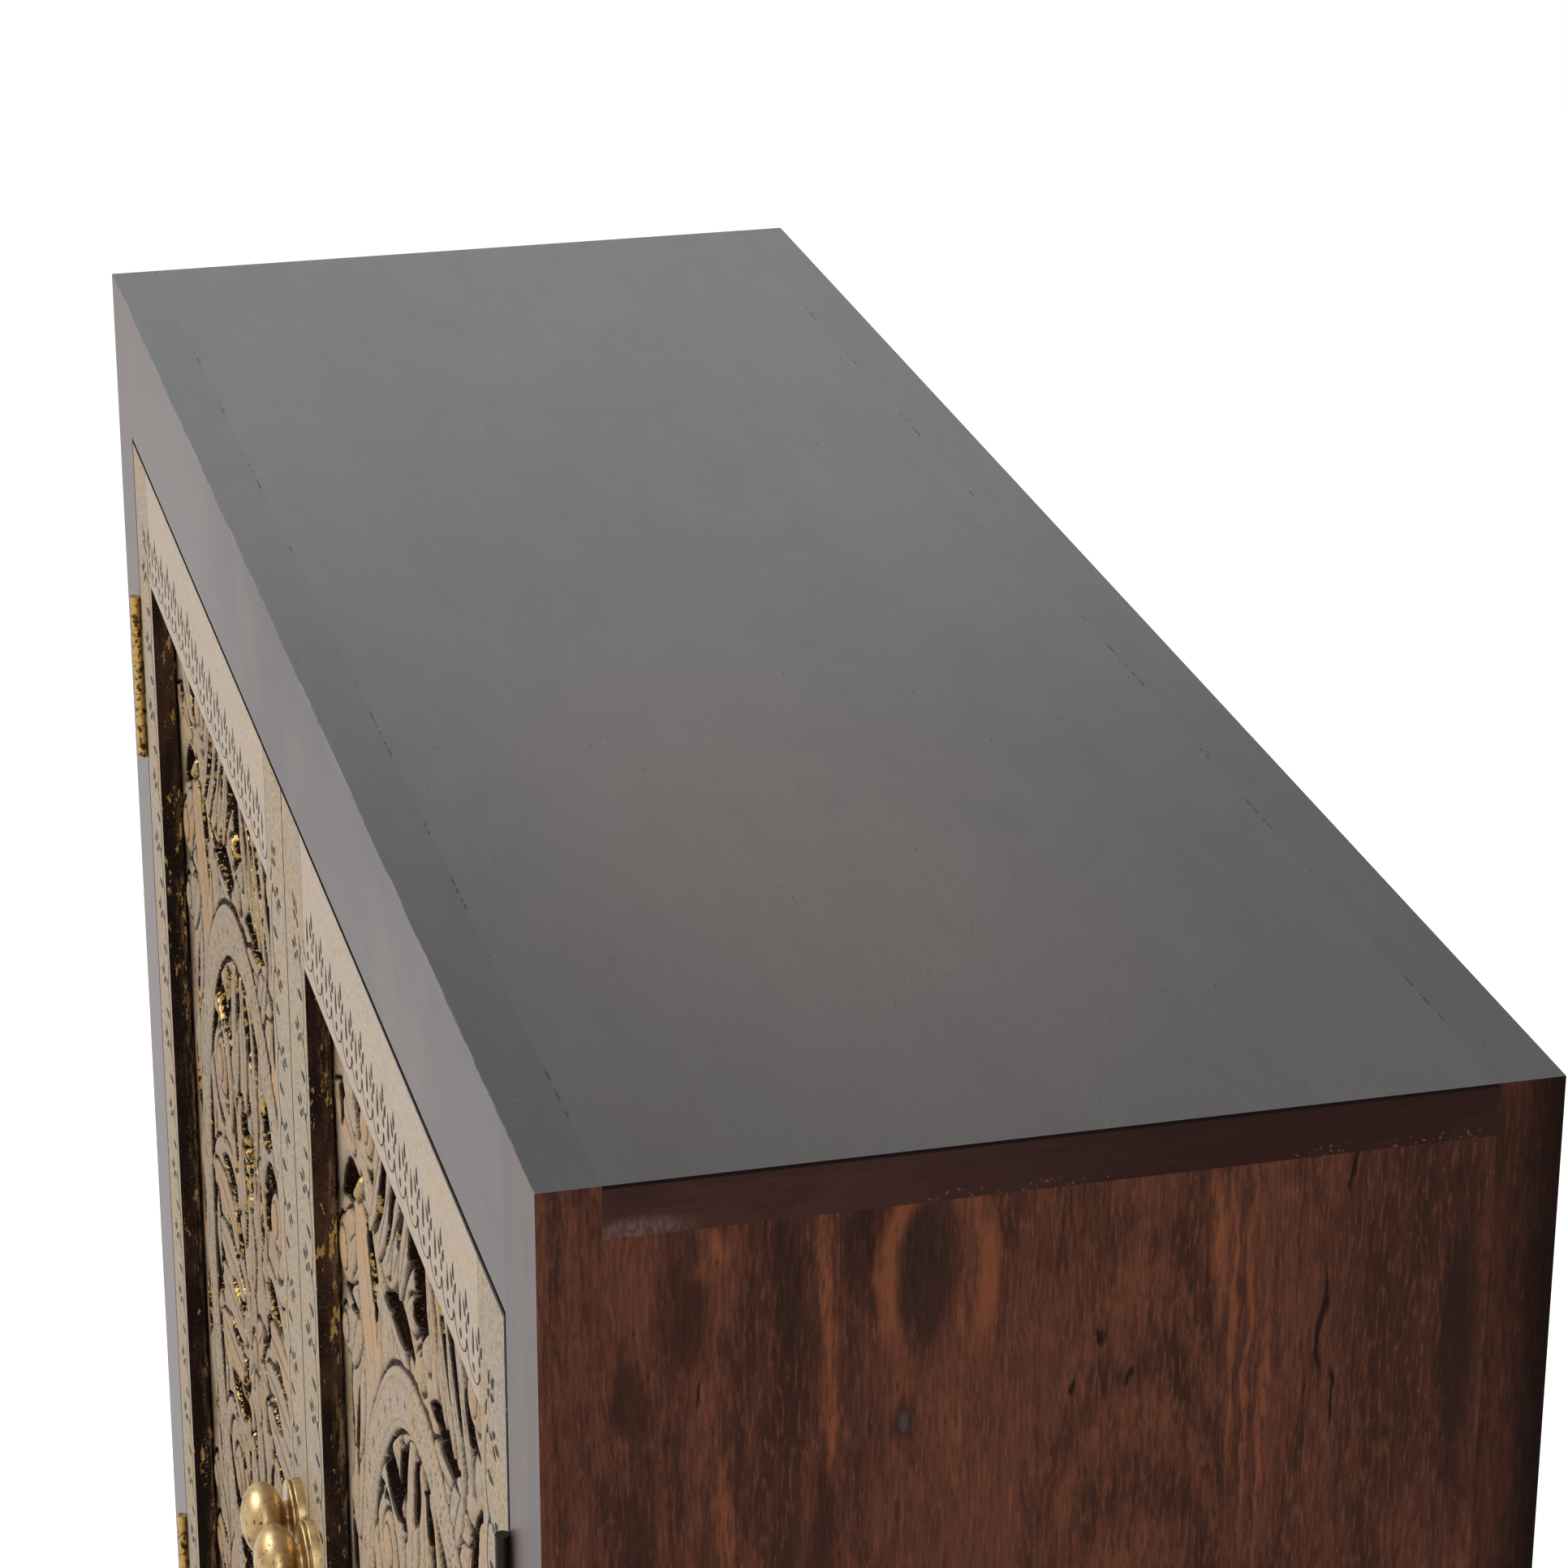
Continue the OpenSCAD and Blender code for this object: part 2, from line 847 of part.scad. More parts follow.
// Carving. The panel is pierced by curved blades: each starts at p, runs at its heading for
// the length l, turns by bend degrees on the way, and is twice w wide at its middle.

function arc_point(p, heading, bend, l, t) =
    let (r = l / (bend * PI / 180))
    p + r * [sin(heading + bend * t) - sin(heading), cos(heading) - cos(heading + bend * t)];

function side_of(p, heading, bend, l, t, w) =
    arc_point(p, heading, bend, l, t)
    + w * [-sin(heading + bend * t), cos(heading + bend * t)];

// Points fitted to the opening's size
function fitted(points) = [for (p = points) [p[0] * stretch[0], p[1] * stretch[1]]];

module blade(p, heading, bend, l, w) {
    n = blade_steps;
    polygon(fitted(concat(
        [for (i = [0:n]) side_of(p, heading, bend, l, i / n, w * sin(180 * i / n))],
        [for (i = [n - 1:-1:1]) side_of(p, heading, bend, l, i / n, -w * sin(180 * i / n))]
    )));
}

module ellipse(a, b) {
    polygon([for (i = [0:5:355]) [a * cos(i), b * sin(i)]]);
}

module four_ways() {
    for (a = [0, 1], b = [0, 1])
        mirror([a, 0]) mirror([0, b]) children();
}

// Piercings between the ring and the door frame: p, heading, bend, length, half width
outer_cuts = [
    [[14, 272], 20, -42, 78, 9],
    [[66, 374], -72, 22, 92, 6],
    [[46, 374], -74, 16, 74, 4.5],
    [[28, 372], -76, 14, 58, 3.5],
    [[116, 354], 40, -170, 62, 7.5],
    [[112, 336], -104, 116, 40, 4],
    [[138, 290], -132, 44, 62, 7],
    [[160, 296], -18, -26, 62, 10],
    [[166, 220], 4, -20, 46, 4.5],
    [[204, 182], -98, 12, 66, 8],
    [[176, 176], -72, -10, 56, 4],
    [[207, 98], -108, 30, 62, 7],
    [[205, -20], 90, 0.1, 40, 5],
    [[198, 352], -92, 8, 46, 7],
    [[166, 372], -34, -40, 34, 5]
];

// Piercings inside the ring
inner_cuts = [
    [[9, 232], -74, 10, 48, 8.5],
    [[34, 224], -38, -46, 62, 6],
    [[112, 190], -172, 26, 62, 14],
    [[118, 148], 128, 232, 100, 7],
    [[147, 128], -84, -14, 78, 7],
    [[9, 160], -66, -36, 64, 10],
    [[44, 134], -72, -30, 44, 6],
    [[112, 70], 168, 34, 68, 10],
    [[156, 40], -128, 56, 66, 9],
    [[22, 84], -80, 34, 40, 5],
    [[34, 24], 42, 26, 46, 7],
    [[46, 0], 0, 0.1, 46, 7],
    [[106, 34], 176, 22, 40, 5]
];

// The pointed hole above the ring
module tulip_cut() {
    polygon(fitted([[0, 290], [15, 308], [22, 328], [17, 350], [5, 372], [0, 374]]));
}

module piercings() {
    four_ways() {
        difference() {
            union() {
                for (c = outer_cuts) blade(c[0], c[1], c[2], c[3], c[4]);
                tulip_cut();
            }
            ellipse(ring_a, ring_b);
        }
        intersection() {
            for (c = inner_cuts) blade(c[0], c[1], c[2], c[3], c[4]);
            ellipse(ring_a - ring_band, ring_b - ring_band);
        }
    }
}

// Groove that outlines one edge of the ring
module ring_groove(a, b) {
    translate([0, 0, panel_t - ring_groove_t])
        linear_extrude(ring_groove_t + eps)
            difference() {
                ellipse(a + ring_groove_w / 2, b + ring_groove_w / 2);
                ellipse(a - ring_groove_w / 2, b - ring_groove_w / 2);
            }
}

module left_carved_panel() {
    rim_w = panel_rebate_w - panel_gap;
    color(paint_cream)
        at(panel_x, panel_recess + panel_t, panel_z)
            rotate([90, 0, 0])
                difference() {
                    linear_extrude(panel_t)
                        difference() {
                            square([open_w + 2 * rim_w, open_h + 2 * rim_w], center = true);
                            intersection() {
                                square(
                                    [open_w - 2 * carving_rim, open_h - 2 * carving_rim],
                                    center = true
                                );
                                piercings();
                            }
                        }
                    ring_groove(ring_a, ring_b);
                    ring_groove(ring_a - ring_band, ring_b - ring_band);
                }
}

module right_door_hinge_stile() {
    right_side() left_door_hinge_stile();
}

module right_door_meeting_stile() {
    right_side() left_door_meeting_stile();
}

module right_door_top_rail() {
    right_side() left_door_top_rail();
}

module right_door_bottom_rail() {
    right_side() left_door_bottom_rail();
}

module right_carved_panel() {
    right_side() left_carved_panel();
}

module right_backing_board() {
    right_side() left_backing_board();
}

module right_knob() {
    right_side() left_knob();
}

module right_rosette() {
    right_side() left_rosette();
}

module right_knob_bolt() {
    right_side() left_knob_bolt();
}

module right_strike_disc() {
    right_side() left_strike_disc();
}

module right_strike_screw() {
    right_side() left_strike_screw();
}

top_board();
front_left_stile();
front_right_stile();
front_top_rail();
front_bottom_rail();
left_side_board();
right_side_board();
bottom_board();
back_left_post();
back_right_post();
back_top_rail();
back_bottom_rail();
back_panel();
lower_shelf();
upper_shelf();
shelf_cleats();
cleat_screws();
door_stop_strip();
stop_strip_screws();
catch_magnets();
corner_blocks();
front_left_foot();
front_right_foot();
back_left_foot();
back_right_foot();
foot_bolts();
foot_glides();
frame_hinge_screws();
left_frame_hinge_leaves();
left_hinge_pins();
left_door_hinge_stile();
left_door_meeting_stile();
left_door_top_rail();
left_door_bottom_rail();
left_carved_panel();
left_backing_board();
left_door_hinge_leaves();
left_door_hinge_screws();
left_knob();
left_rosette();
left_knob_bolt();
left_strike_disc();
left_strike_screw();
right_frame_hinge_leaves();
right_hinge_pins();
right_door_hinge_stile();
right_door_meeting_stile();
right_door_top_rail();
right_door_bottom_rail();
right_carved_panel();
right_backing_board();
right_door_hinge_leaves();
right_door_hinge_screws();
right_knob();
right_rosette();
right_knob_bolt();
right_strike_disc();
right_strike_screw();
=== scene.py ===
"""Looks of a two-door cabinet with carved and stencilled doors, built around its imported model."""

import math
import random
from functools import partialmethod

import bpy
import numpy as np
from mathutils import Matrix, Vector


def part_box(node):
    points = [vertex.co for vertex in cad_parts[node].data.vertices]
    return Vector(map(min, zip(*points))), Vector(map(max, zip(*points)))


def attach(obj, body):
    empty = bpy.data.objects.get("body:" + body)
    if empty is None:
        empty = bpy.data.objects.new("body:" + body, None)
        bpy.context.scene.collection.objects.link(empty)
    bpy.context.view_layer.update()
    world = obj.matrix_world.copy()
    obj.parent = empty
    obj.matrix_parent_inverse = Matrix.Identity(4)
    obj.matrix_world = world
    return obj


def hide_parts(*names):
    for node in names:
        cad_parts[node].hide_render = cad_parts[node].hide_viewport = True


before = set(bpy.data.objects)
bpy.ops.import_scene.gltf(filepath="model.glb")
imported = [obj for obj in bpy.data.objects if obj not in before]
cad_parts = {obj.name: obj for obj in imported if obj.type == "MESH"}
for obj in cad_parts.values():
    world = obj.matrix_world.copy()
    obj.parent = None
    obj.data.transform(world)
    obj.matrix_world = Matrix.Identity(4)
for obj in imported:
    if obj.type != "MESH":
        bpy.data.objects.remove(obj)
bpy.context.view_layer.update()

MM = 0.001
FACE_Y = -184.0
DOORS = ("left", "right")

# Joints of the top, in mm behind the front: with the face frame, and with the back rail
FRONT_JOINT, BACK_JOINT = 25.0, 373.0

# Right door and its opening, in mm from the middle of the cabinet and over the floor
DOOR_TOP, DOOR_OUTER = 1068.0, 538.0
OPENING_X = (55, 484)
OPENING_Z = (232, 998)

# Camera, fitted over all that the photograph shows. A shift would follow how it is cut from a
# wider picture, but other views keep the shift, so there is none.
CAMERA_AT = (2.1570, -0.4939, 1.9639)
CAMERA_AIM = (0.1879, 0.0153, 1.1253)
CAMERA_ROLL = 0.144
LENS_MM = 112.92

# Lamps: place, what it lights, diameter and watts
LAMPS = {
    "key": ((-1.6, -3.4, 3.2), (0, 0, 0.8), 2.4, 110),
    "fill": ((3.6, -1.2, 2.4), (0.3, 0, 0.8), 2.6, 45),
    "rim": ((-1.0, 3.2, 3.0), (0, 0, 0.8), 2.4, 45),
}

# Strength of the world on dull surfaces, and of the floor's glow to the camera and in reflections
WORLD_LEVEL = 0.42
FLOOR_GLOW, FLOOR_MIRRORED = 0.62, 0.22

# World in reflections: strength of the studio and overhead, and the heights where it changes
STUDIO_LEVEL, OVERHEAD_LEVEL = 0.80, 0.40
OVERHEAD = (0.70, 1.00)

# Specular levels: front, top where it is varnished and where it is rubbed, bare side
FRONT_SPECULAR = 0.85
TOP_SPECULAR, TOP_RUBBED = 1.0, 0.58
SIDE_SPECULAR = 0.04

# Sockets of the shader that have another name here
SOCKETS = {
    "color": "Base Color", "specular": "Specular IOR Level",
    "glow": "Emission Strength", "glow_color": "Emission Color",
}


def linear(red, green, blue):
    """Linear colour of an sRGB colour given from 0 to 255."""
    def one(c):
        c /= 255
        return c / 12.92 if c <= 0.04045 else ((c + 0.055) / 1.055) ** 2.4
    return one(red), one(green), one(blue), 1.0


class Graph:
    """Node tree of a material or world. Inputs may be numbers, vectors or other sockets."""

    def __init__(self, owner):
        owner.use_nodes = True
        self.owner = owner
        self.nodes, self.links = owner.node_tree.nodes, owner.node_tree.links

    def plug(self, socket, value):
        if isinstance(value, bpy.types.NodeSocket):
            self.links.new(value, socket)
        elif value is not None:
            socket.default_value = value

    def add(self, kind, inputs=(), **settings):
        node = self.nodes.new(kind)
        for name, value in settings.items():
            setattr(node, name, value)
        for name, value in dict(inputs).items():
            self.plug(node.inputs[name], value)
        return node

    def shade(self, **sockets):
        """Sets sockets of the material's shader, and returns the material."""
        for name, value in sockets.items():
            self.plug(self.nodes["Principled BSDF"].inputs[SOCKETS.get(name, name.title())], value)
        return self.owner

    def math(self, operation, a, b=None, c=None, clamp=False):
        inputs = {0: a, 1: b, 2: c}
        return self.add("ShaderNodeMath", inputs, operation=operation, use_clamp=clamp).outputs[0]

    plus = partialmethod(math, "ADD")
    less = partialmethod(math, "SUBTRACT")
    inverse = partialmethod(math, "SUBTRACT", 1.0)
    times = partialmethod(math, "MULTIPLY")
    scaled = partialmethod(math, "MULTIPLY_ADD")
    over = partialmethod(math, "DIVIDE")
    larger = partialmethod(math, "MAXIMUM")
    smaller = partialmethod(math, "MINIMUM")
    size = partialmethod(math, "ABSOLUTE")

    def hypot(self, a, b):
        return self.math("SQRT", self.plus(self.times(a, a), self.times(b, b)))

    def between(self, value, low, high, kind="SMOOTHSTEP"):
        """0 below low, 1 above high."""
        inputs = {"Value": value, "From Min": low, "From Max": high}
        return self.add("ShaderNodeMapRange", inputs, interpolation_type=kind).outputs["Result"]

    def below(self, value, low, high):
        """1 below low, 0 above high."""
        return self.inverse(self.between(value, low, high))

    def coordinates(self, kind="Object"):
        return self.add("ShaderNodeTexCoord").outputs[kind]

    def axes(self, kind="Object"):
        return tuple(self.add("ShaderNodeSeparateXYZ", {"Vector": self.coordinates(kind)}).outputs)

    def placed(self):
        """x, distance behind the front of the case, and height."""
        x, y, z = self.axes()
        return x, self.less(y, FACE_Y * MM), z

    def attribute(self, name):
        return self.add("ShaderNodeAttribute", attribute_name=name).outputs["Fac"]

    def noise(self, scale, detail=3.0, roughness=0.55, distortion=0.0, **stretch):
        """Noise over the frame. A stretch below 1 for x, y or z draws it out that way."""
        vector = self.coordinates()
        if stretch:
            factors = [stretch.get(axis, 1.0) for axis in "xyz"]
            vector = self.add("ShaderNodeMapping", {"Vector": vector, "Scale": factors}).outputs[0]
        inputs = {
            "Vector": vector, "Scale": scale, "Detail": detail,
            "Roughness": roughness, "Distortion": distortion,
        }
        return self.add("ShaderNodeTexNoise", inputs).outputs["Fac"]

    def spots(self, low, high, *noise, **stretch):
        """Where the noise is high: 0 below low, 1 above high."""
        return self.between(self.noise(*noise, **stretch), low, high)

    def coats(self, colour, *coats):
        """Lays coats over a colour. Each has a tone, a mask and, where it is thin, its share.

        Colours are sockets, or red, green and blue in sRGB from 0 to 255.
        """
        for tone, mask, *share in coats:
            if share:
                mask = self.times(mask, share[0])
            a, b = (linear(*c) if isinstance(c, tuple) else c for c in (colour, tone))
            colour = self.add("ShaderNodeMix", {0: mask, 6: a, 7: b}, data_type="RGBA").outputs[2]
        return colour

    def bump(self, height, depth_mm, strength):
        inputs = {"Height": height, "Distance": depth_mm * MM, "Strength": strength}
        return self.add("ShaderNodeBump", inputs).outputs["Normal"]


def surface(name, **uniform):
    """Graph of a new material, with the sockets that are the same all over."""
    g = Graph(bpy.data.materials.new(name))
    g.shade(**uniform)
    return g


# Wood. Tones go from dark to light, and a fourth one is worn.

WALNUT = ((60, 37, 29), (93, 55, 42), (120, 71, 50))
STAINED = ((46, 37, 37), (60, 48, 48), (74, 58, 56), (97, 75, 72))
STAINED_WARM = ((44, 26, 24), (58, 34, 31), (76, 44, 40), (92, 56, 52))
INSIDE = ((66, 42, 31), (98, 64, 47), (128, 88, 64))
BACKING = ((20, 13, 11), (34, 23, 19), (46, 32, 26))
BOARD_END = ((54, 34, 30), (64, 41, 36), (80, 50, 42))
DARK_POST = (20, 12, 9)


def wood_colour(g, along, dark, middle, light):
    """Colour, a height for the bump, and the tone, from bands, fibres and pores along the grain."""
    long, short = {along: 0.12}, {along: 0.16}
    band = g.noise(24, 4, 0.6, 0.5, **long)
    fine = g.noise(120, 5, 0.7, 0.3, **short)
    fibre = g.noise(460, 4, 0.7, **long)
    pore = g.spots(0.62, 0.70, 800, 2, 0.5, **short)
    tone = g.scaled(fibre, 0.18, g.scaled(band, 0.5, g.times(fine, 0.32)))
    colour = g.coats(
        dark,
        (middle, g.between(tone, 0.41, 0.52)),
        (light, g.between(tone, 0.53, 0.63)),
        (dark, pore, 0.65),
    )
    return colour, g.less(fibre, pore), tone


def plain_wood(name, along, tones, roughness=0.65):
    g = surface(name, specular=0.25)
    colour, height, tone = wood_colour(g, along, *tones)
    rough = g.scaled(tone, -0.2, roughness)
    return g.shade(color=colour, roughness=rough, normal=g.bump(height, 0.12, 0.5))


# Marks of the side boards, in mm: distance behind the front and height over the floor, then the
# half sizes. The first ones are where the photograph shows them.
KNOTS = ((150, 1098, 11, 37), (140, 1037, 4.5, 12), (238, 690, 8, 24), (68, 420, 9, 30))
KNOT_RIMS = ((152, 1093, 22, 58), (240, 688, 18, 48), (70, 418, 20, 60))
KNOT_HEARTS = ((140, 1037, 2.0, 6), (68, 420, 3, 8))
SHADES = (
    (364, 1045, 11, 95), (361, 1036, 8, 60), (35, 1056, 6, 34), (122, 1110, 8, 24), (94, 1096, 7, 34),
    (56, 1094, 9, 42), (36, 1000, 7, 34), (108, 980, 9, 50), (330, 640, 12, 150),
    (30, 560, 10, 120), (200, 380, 14, 110),
)
GLOWS = (
    (109.5, 1088, 3.2, 52), (111.5, 1040, 1.6, 22), (70.5, 1000, 4, 40),
    (270.5, 1065, 1.6, 80), (277.5, 1040, 1.4, 95), (284.5, 1010, 1.6, 70), (264.5, 1100, 3, 34),
    (70.5, 1118, 3, 10), (210.5, 560, 3, 90), (120.5, 300, 3, 80),
)
ARCHES = ((234, 1068), (190, 560))
CRACKS = (
    (307, 1058, 1.5, 26), (311, 1024, 0.8, 16), (317.5, 1120, 0.8, 9), (217.5, 1062, 1.5, 4.5),
    (207.5, 1042, 1.3, 3.5), (228.5, 1044, 1.6, 3.0), (60.5, 1058, 0.8, 6),
)
WORN_CORNER = (38, 1130.5, 20, 5)

# Warm patch of the top: x and distance behind the front, then the half sizes, in mm
WARM_PATCH = (300, 220, 300, 150)


def oval(g, across, up, place):
    """Distance from the middle of an oval, 1 at its rim."""
    centre_a, centre_b, half_a, half_b = (v * MM for v in place)
    return g.hypot(g.over(g.less(across, centre_a), half_a), g.over(g.less(up, centre_b), half_b))


def in_oval(g, across, up, place, core, rim):
    """1 within the core of an oval, 0 beyond its rim."""
    return g.below(oval(g, across, up, place), core, rim)


def walnut(g):
    """Upright walnut with growth lines, knots, arched figure, light streaks and dark patches."""
    _, y, z = g.placed()
    sway = g.less(g.noise(22, 3, 0.6, z=0.5), 0.5)
    shiver = g.less(g.noise(160, 3, 0.7, z=0.25), 0.5)
    y = g.scaled(shiver, 0.006, g.scaled(sway, 0.022, y))
    z = g.scaled(shiver, 0.020, z)
    torn = g.noise(620, 4, 0.7, z=0.14)
    colour, height, tone = wood_colour(g, "z", *WALNUT)
    year = g.between(g.math("SINE", g.times(y, 2700.0)), 0.0, 1.0)
    colour = g.coats(
        colour,
        ((54, 33, 27), g.spots(0.40, 0.66, 11, z=0.4), 0.60),
        ((50, 31, 25), g.spots(0.48, 0.66, 40, 4, 0.6, z=0.3), 0.42),
        ((44, 27, 22), g.times(year, g.spots(0.42, 0.62, 16, 2, z=0.3)), 0.30),
        ((122, 75, 55), g.between(torn, 0.50, 0.66), 0.45),
        ((42, 27, 22), g.scaled(g.between(torn, 0.34, 0.48), -0.36, 0.36)),
    )
    for centre_y, centre_z in ARCHES:
        lift = g.over(g.less(y, centre_y * MM), 0.030)
        arch = g.scaled(lift, lift, g.over(g.less(z, centre_z * MM), 0.045))
        ring = g.between(g.math("SINE", g.times(arch, 5.0)), -0.9, 1.0)
        ring = g.times(ring, g.spots(0.35, 0.62, 330, 3, 0.7, z=0.3))
        reach = in_oval(g, y, z, (centre_y, centre_z - 60, 48, 150), 0.5, 1.1)
        colour = g.coats(colour, ((116, 69, 50), g.times(ring, reach), 0.50))
    ragged = g.plus(g.noise(75, 4, 0.7, z=0.35), g.times(torn, 0.35))
    ragged = g.scaled(ragged, 1.9, -1.28)
    for place in SHADES:
        shade = g.below(g.plus(oval(g, y, z, place), ragged), 0.4, 1.3)
        colour = g.coats(colour, ((42, 27, 22), shade, 0.66))
    for place in KNOT_RIMS:
        middle, half = place[1], place[3]
        band = g.below(g.size(g.less(oval(g, y, z, place), 0.84)), 0.06, 0.30)
        band = g.times(band, g.between(z, (middle - 0.75 * half) * MM, (middle - 0.1 * half) * MM))
        broken = g.scaled(g.spots(0.36, 0.56, 150, 3, 0.7, z=0.2), 0.6, 0.4)
        colour = g.coats(colour, ((126, 73, 50), g.times(band, broken), 0.78))
    for place in GLOWS:
        glow = g.times(in_oval(g, y, z, place, 0.2, 1.5), g.between(torn, 0.30, 0.54))
        colour = g.coats(colour, ((132, 78, 52), glow, 0.62))
    for place in KNOTS:
        d = oval(g, y, z, place)
        ring = g.between(g.math("SINE", g.times(d, 15.0)), -0.3, 1.0)
        knot = g.coats((42, 29, 26), ((60, 41, 35), ring, 0.35))
        colour = g.coats(colour, (knot, g.times(g.below(d, 0.5, 1.3), g.scaled(torn, -0.6, 1.08))))
    for place in KNOT_HEARTS:
        colour = g.coats(colour, ((78, 71, 72), in_oval(g, y, z, place, 0.5, 1.2), 0.6))
    for place in CRACKS:
        crack = in_oval(g, y, z, place, 0.5, 1.3)
        colour = g.coats(colour, ((22, 14, 13), crack, 0.85))
        height = g.less(height, crack)
    return colour, height, tone


def side_wood():
    g = surface("walnut_side", specular=SIDE_SPECULAR)
    colour, height, tone = walnut(g)
    return g.shade(color=colour, roughness=g.scaled(tone, -0.15, 0.55), normal=g.bump(height, 0.12, 0.5))


def dashes_near(g, y, joint):
    """Fine dark dashes in a joint between the top board and the rail beside it."""
    line = g.below(g.size(g.less(y, joint * MM)), 0.0002, 0.0006)
    run = g.spots(0.50, 0.56, 11, 3, 0.6, y=0, z=0)
    dash = g.spots(0.47, 0.53, 110, 2, 0.6, y=0, z=0)
    return g.times(line, g.times(run, dash))


def stain(g):
    """Dark stain under satin varnish: colour, bump height and roughness of the top faces."""
    x, y, _ = g.placed()
    cloud = g.noise(8, 4, 0.6, 0.4, x=0.45)
    fibre = g.noise(420, 3, 0.6, x=0.05)
    front_strip = g.below(y, (FRONT_JOINT - 0.4) * MM, (FRONT_JOINT + 0.4) * MM)
    back_strip = g.between(y, (BACK_JOINT - 0.4) * MM, (BACK_JOINT + 0.4) * MM)
    pits = g.times(g.spots(0.68, 0.74, 620, 2, 0.6, x=0.35), g.spots(0.40, 0.54, 9, 2))
    seams = g.larger(dashes_near(g, y, FRONT_JOINT), dashes_near(g, y, BACK_JOINT))
    # A painted highlight: a broken light line along the front edge of the top
    painted_edge_highlight = g.times(g.below(y, 0.0003, 0.0006), g.spots(0.44, 0.56, 9, 4, 0.7, y=0, z=0))
    colour = g.coats(
        (40, 43, 52),
        ((57, 59, 65), g.between(cloud, 0.36, 0.66)),
        ((52, 47, 46), g.between(g.scaled(cloud, 0.5, x), 0.25, 0.95)),
        ((80, 66, 63), in_oval(g, x, g.scaled(cloud, 0.12, y), WARM_PATCH, 0.25, 1.3), 0.85),
        ((30, 27, 27), g.between(fibre, 0.5, 0.75), 0.25),
        ((42, 47, 56), g.spots(0.50, 0.64, 6.5, x=0.6), 0.55),
        ((30, 31, 36), g.larger(front_strip, back_strip), 0.45),
        ((22, 20, 21), pits, 0.75),
        ((150, 146, 146), g.spots(0.735, 0.76, 560, 2, 0.5), 0.5),
        ((16, 14, 14), seams, 0.85),
        ((150, 142, 142), painted_edge_highlight, 0.8),
    )
    marks = g.larger(pits, seams)
    rough = g.scaled(g.between(x, -0.35, 0.45), 0.12, 0.14)
    rough = g.scaled(g.noise(38, 4, 0.65, 0.6, x=0.3), 0.14, rough)
    rough = g.scaled(cloud, 0.12, rough)
    return colour, g.less(g.times(fibre, 0.3), marks), g.plus(rough, g.times(marks, 0.35))


def board_end(g):
    """End of the top board: darker than the side, with a worn corner, chips and a dark upper edge."""
    _, y, z = g.placed()
    scratch = g.scaled(g.spots(0.38, 0.62, 300, 3, 0.7, z=0.4), 0.55, 0.25)
    chip = g.times(g.spots(0.60, 0.66, 430, 3, 0.6), g.below(z, 1.1295, 1.1345))
    return g.coats(
        wood_colour(g, "y", *BOARD_END)[0],
        ((38, 23, 20), g.between(y, 0.10, 0.28), 0.75),
        ((112, 84, 77), g.times(in_oval(g, y, z, WORN_CORNER, 0.4, 1.4), scratch)),
        ((130, 102, 92), g.times(chip, g.spots(0.45, 0.57, 22, 2)), 0.7),
        ((22, 15, 14), g.between(z, 1.1480, 1.1488)),
    )


def case_wood(name, along, front=STAINED, is_top_board=False, side_tone=WALNUT[1], near=0.0, far=0.0):
    """Wood of the case: dark stain on the faces that look up or forward, bare walnut elsewhere.

    The sides take side_tone, by the share near at the front and far at the back.
    """
    g = surface(name)
    x, y, _ = g.placed()
    nx, ny, nz = g.axes("Normal")
    side = g.between(g.size(nx), 0.4, 0.6)
    up = g.between(nz, 0.4, 0.6)
    rear = g.between(ny, 0.4, 0.6)
    top_colour, top_height, top_rough = stain(g)
    side_colour, side_height, _ = walnut(g)
    if is_top_board:
        side_colour = board_end(g)
    share = g.scaled(g.between(y, 0.3765, 0.3995), far - near, near)
    side_colour = g.coats(side_colour, (side_tone, share))
    colour = g.coats(
        wood_colour(g, along, *front[:3])[0],
        (front[3], g.spots(0.50, 0.68, 6, 3, 0.6), 0.6),
        # Painted sheen: the fronts turn paler and greyer towards the far end, as glare
        ((110, 98, 98), g.between(g.times(x, -1.0), 0.0, 0.36), 0.75),
        (top_colour, up),
        (side_colour, side),
        (wood_colour(g, along, *WALNUT)[0], rear),
    )
    bare = g.larger(side, rear)
    rough = g.scaled(g.less(top_rough, 0.42), up, 0.42)
    height = g.plus(g.times(top_height, up), g.times(side_height, 0.5))
    rubbed = g.scaled(g.between(x, -0.15, 0.50), TOP_RUBBED - TOP_SPECULAR, TOP_SPECULAR)
    gloss = g.scaled(up, g.less(rubbed, FRONT_SPECULAR), FRONT_SPECULAR)
    return g.shade(
        color=colour, roughness=g.scaled(bare, 0.1, rough),
        specular=g.scaled(bare, g.less(SIDE_SPECULAR, gloss), gloss),
        normal=g.bump(height, 0.07, 0.5),
    )


# Doors

CREAM, CREAM_WARM, CREAM_COOL = (172, 158, 139), (178, 157, 127), (165, 157, 146)
PEACH = (186, 144, 100)
UMBER = (74, 50, 34)
GOLD = (176, 142, 84)


def cream_paint(g, along):
    """Colour and height of the worn cream paint over open grain, brushed along the piece."""
    brush = g.noise(380, 4, 0.7, **{along: 0.12})
    pore = g.spots(0.59, 0.65, 640, 3, 0.7)
    patch = g.scaled(g.spots(0.36, 0.62, 17, 3, 0.6), 0.8, 0.15)
    scratch = g.times(g.spots(0.63, 0.68, 560, 3, 0.65, **{along: 0.22}), patch)
    colour = g.coats(
        CREAM,
        (CREAM_WARM, g.spots(0.38, 0.66, 15, 4, 0.6)),
        (CREAM_COOL, g.spots(0.50, 0.74, 29), 0.7),
        (UMBER, g.between(brush, 0.46, 0.78), 0.25),
        ((124, 100, 76), g.spots(0.47, 0.64, 360, 5, 0.8), 0.72),
        ((78, 60, 46), pore, 0.66),
        ((62, 46, 37), scratch, 0.7),
    )
    return colour, g.less(g.times(brush, 0.6), g.larger(scratch, pore))


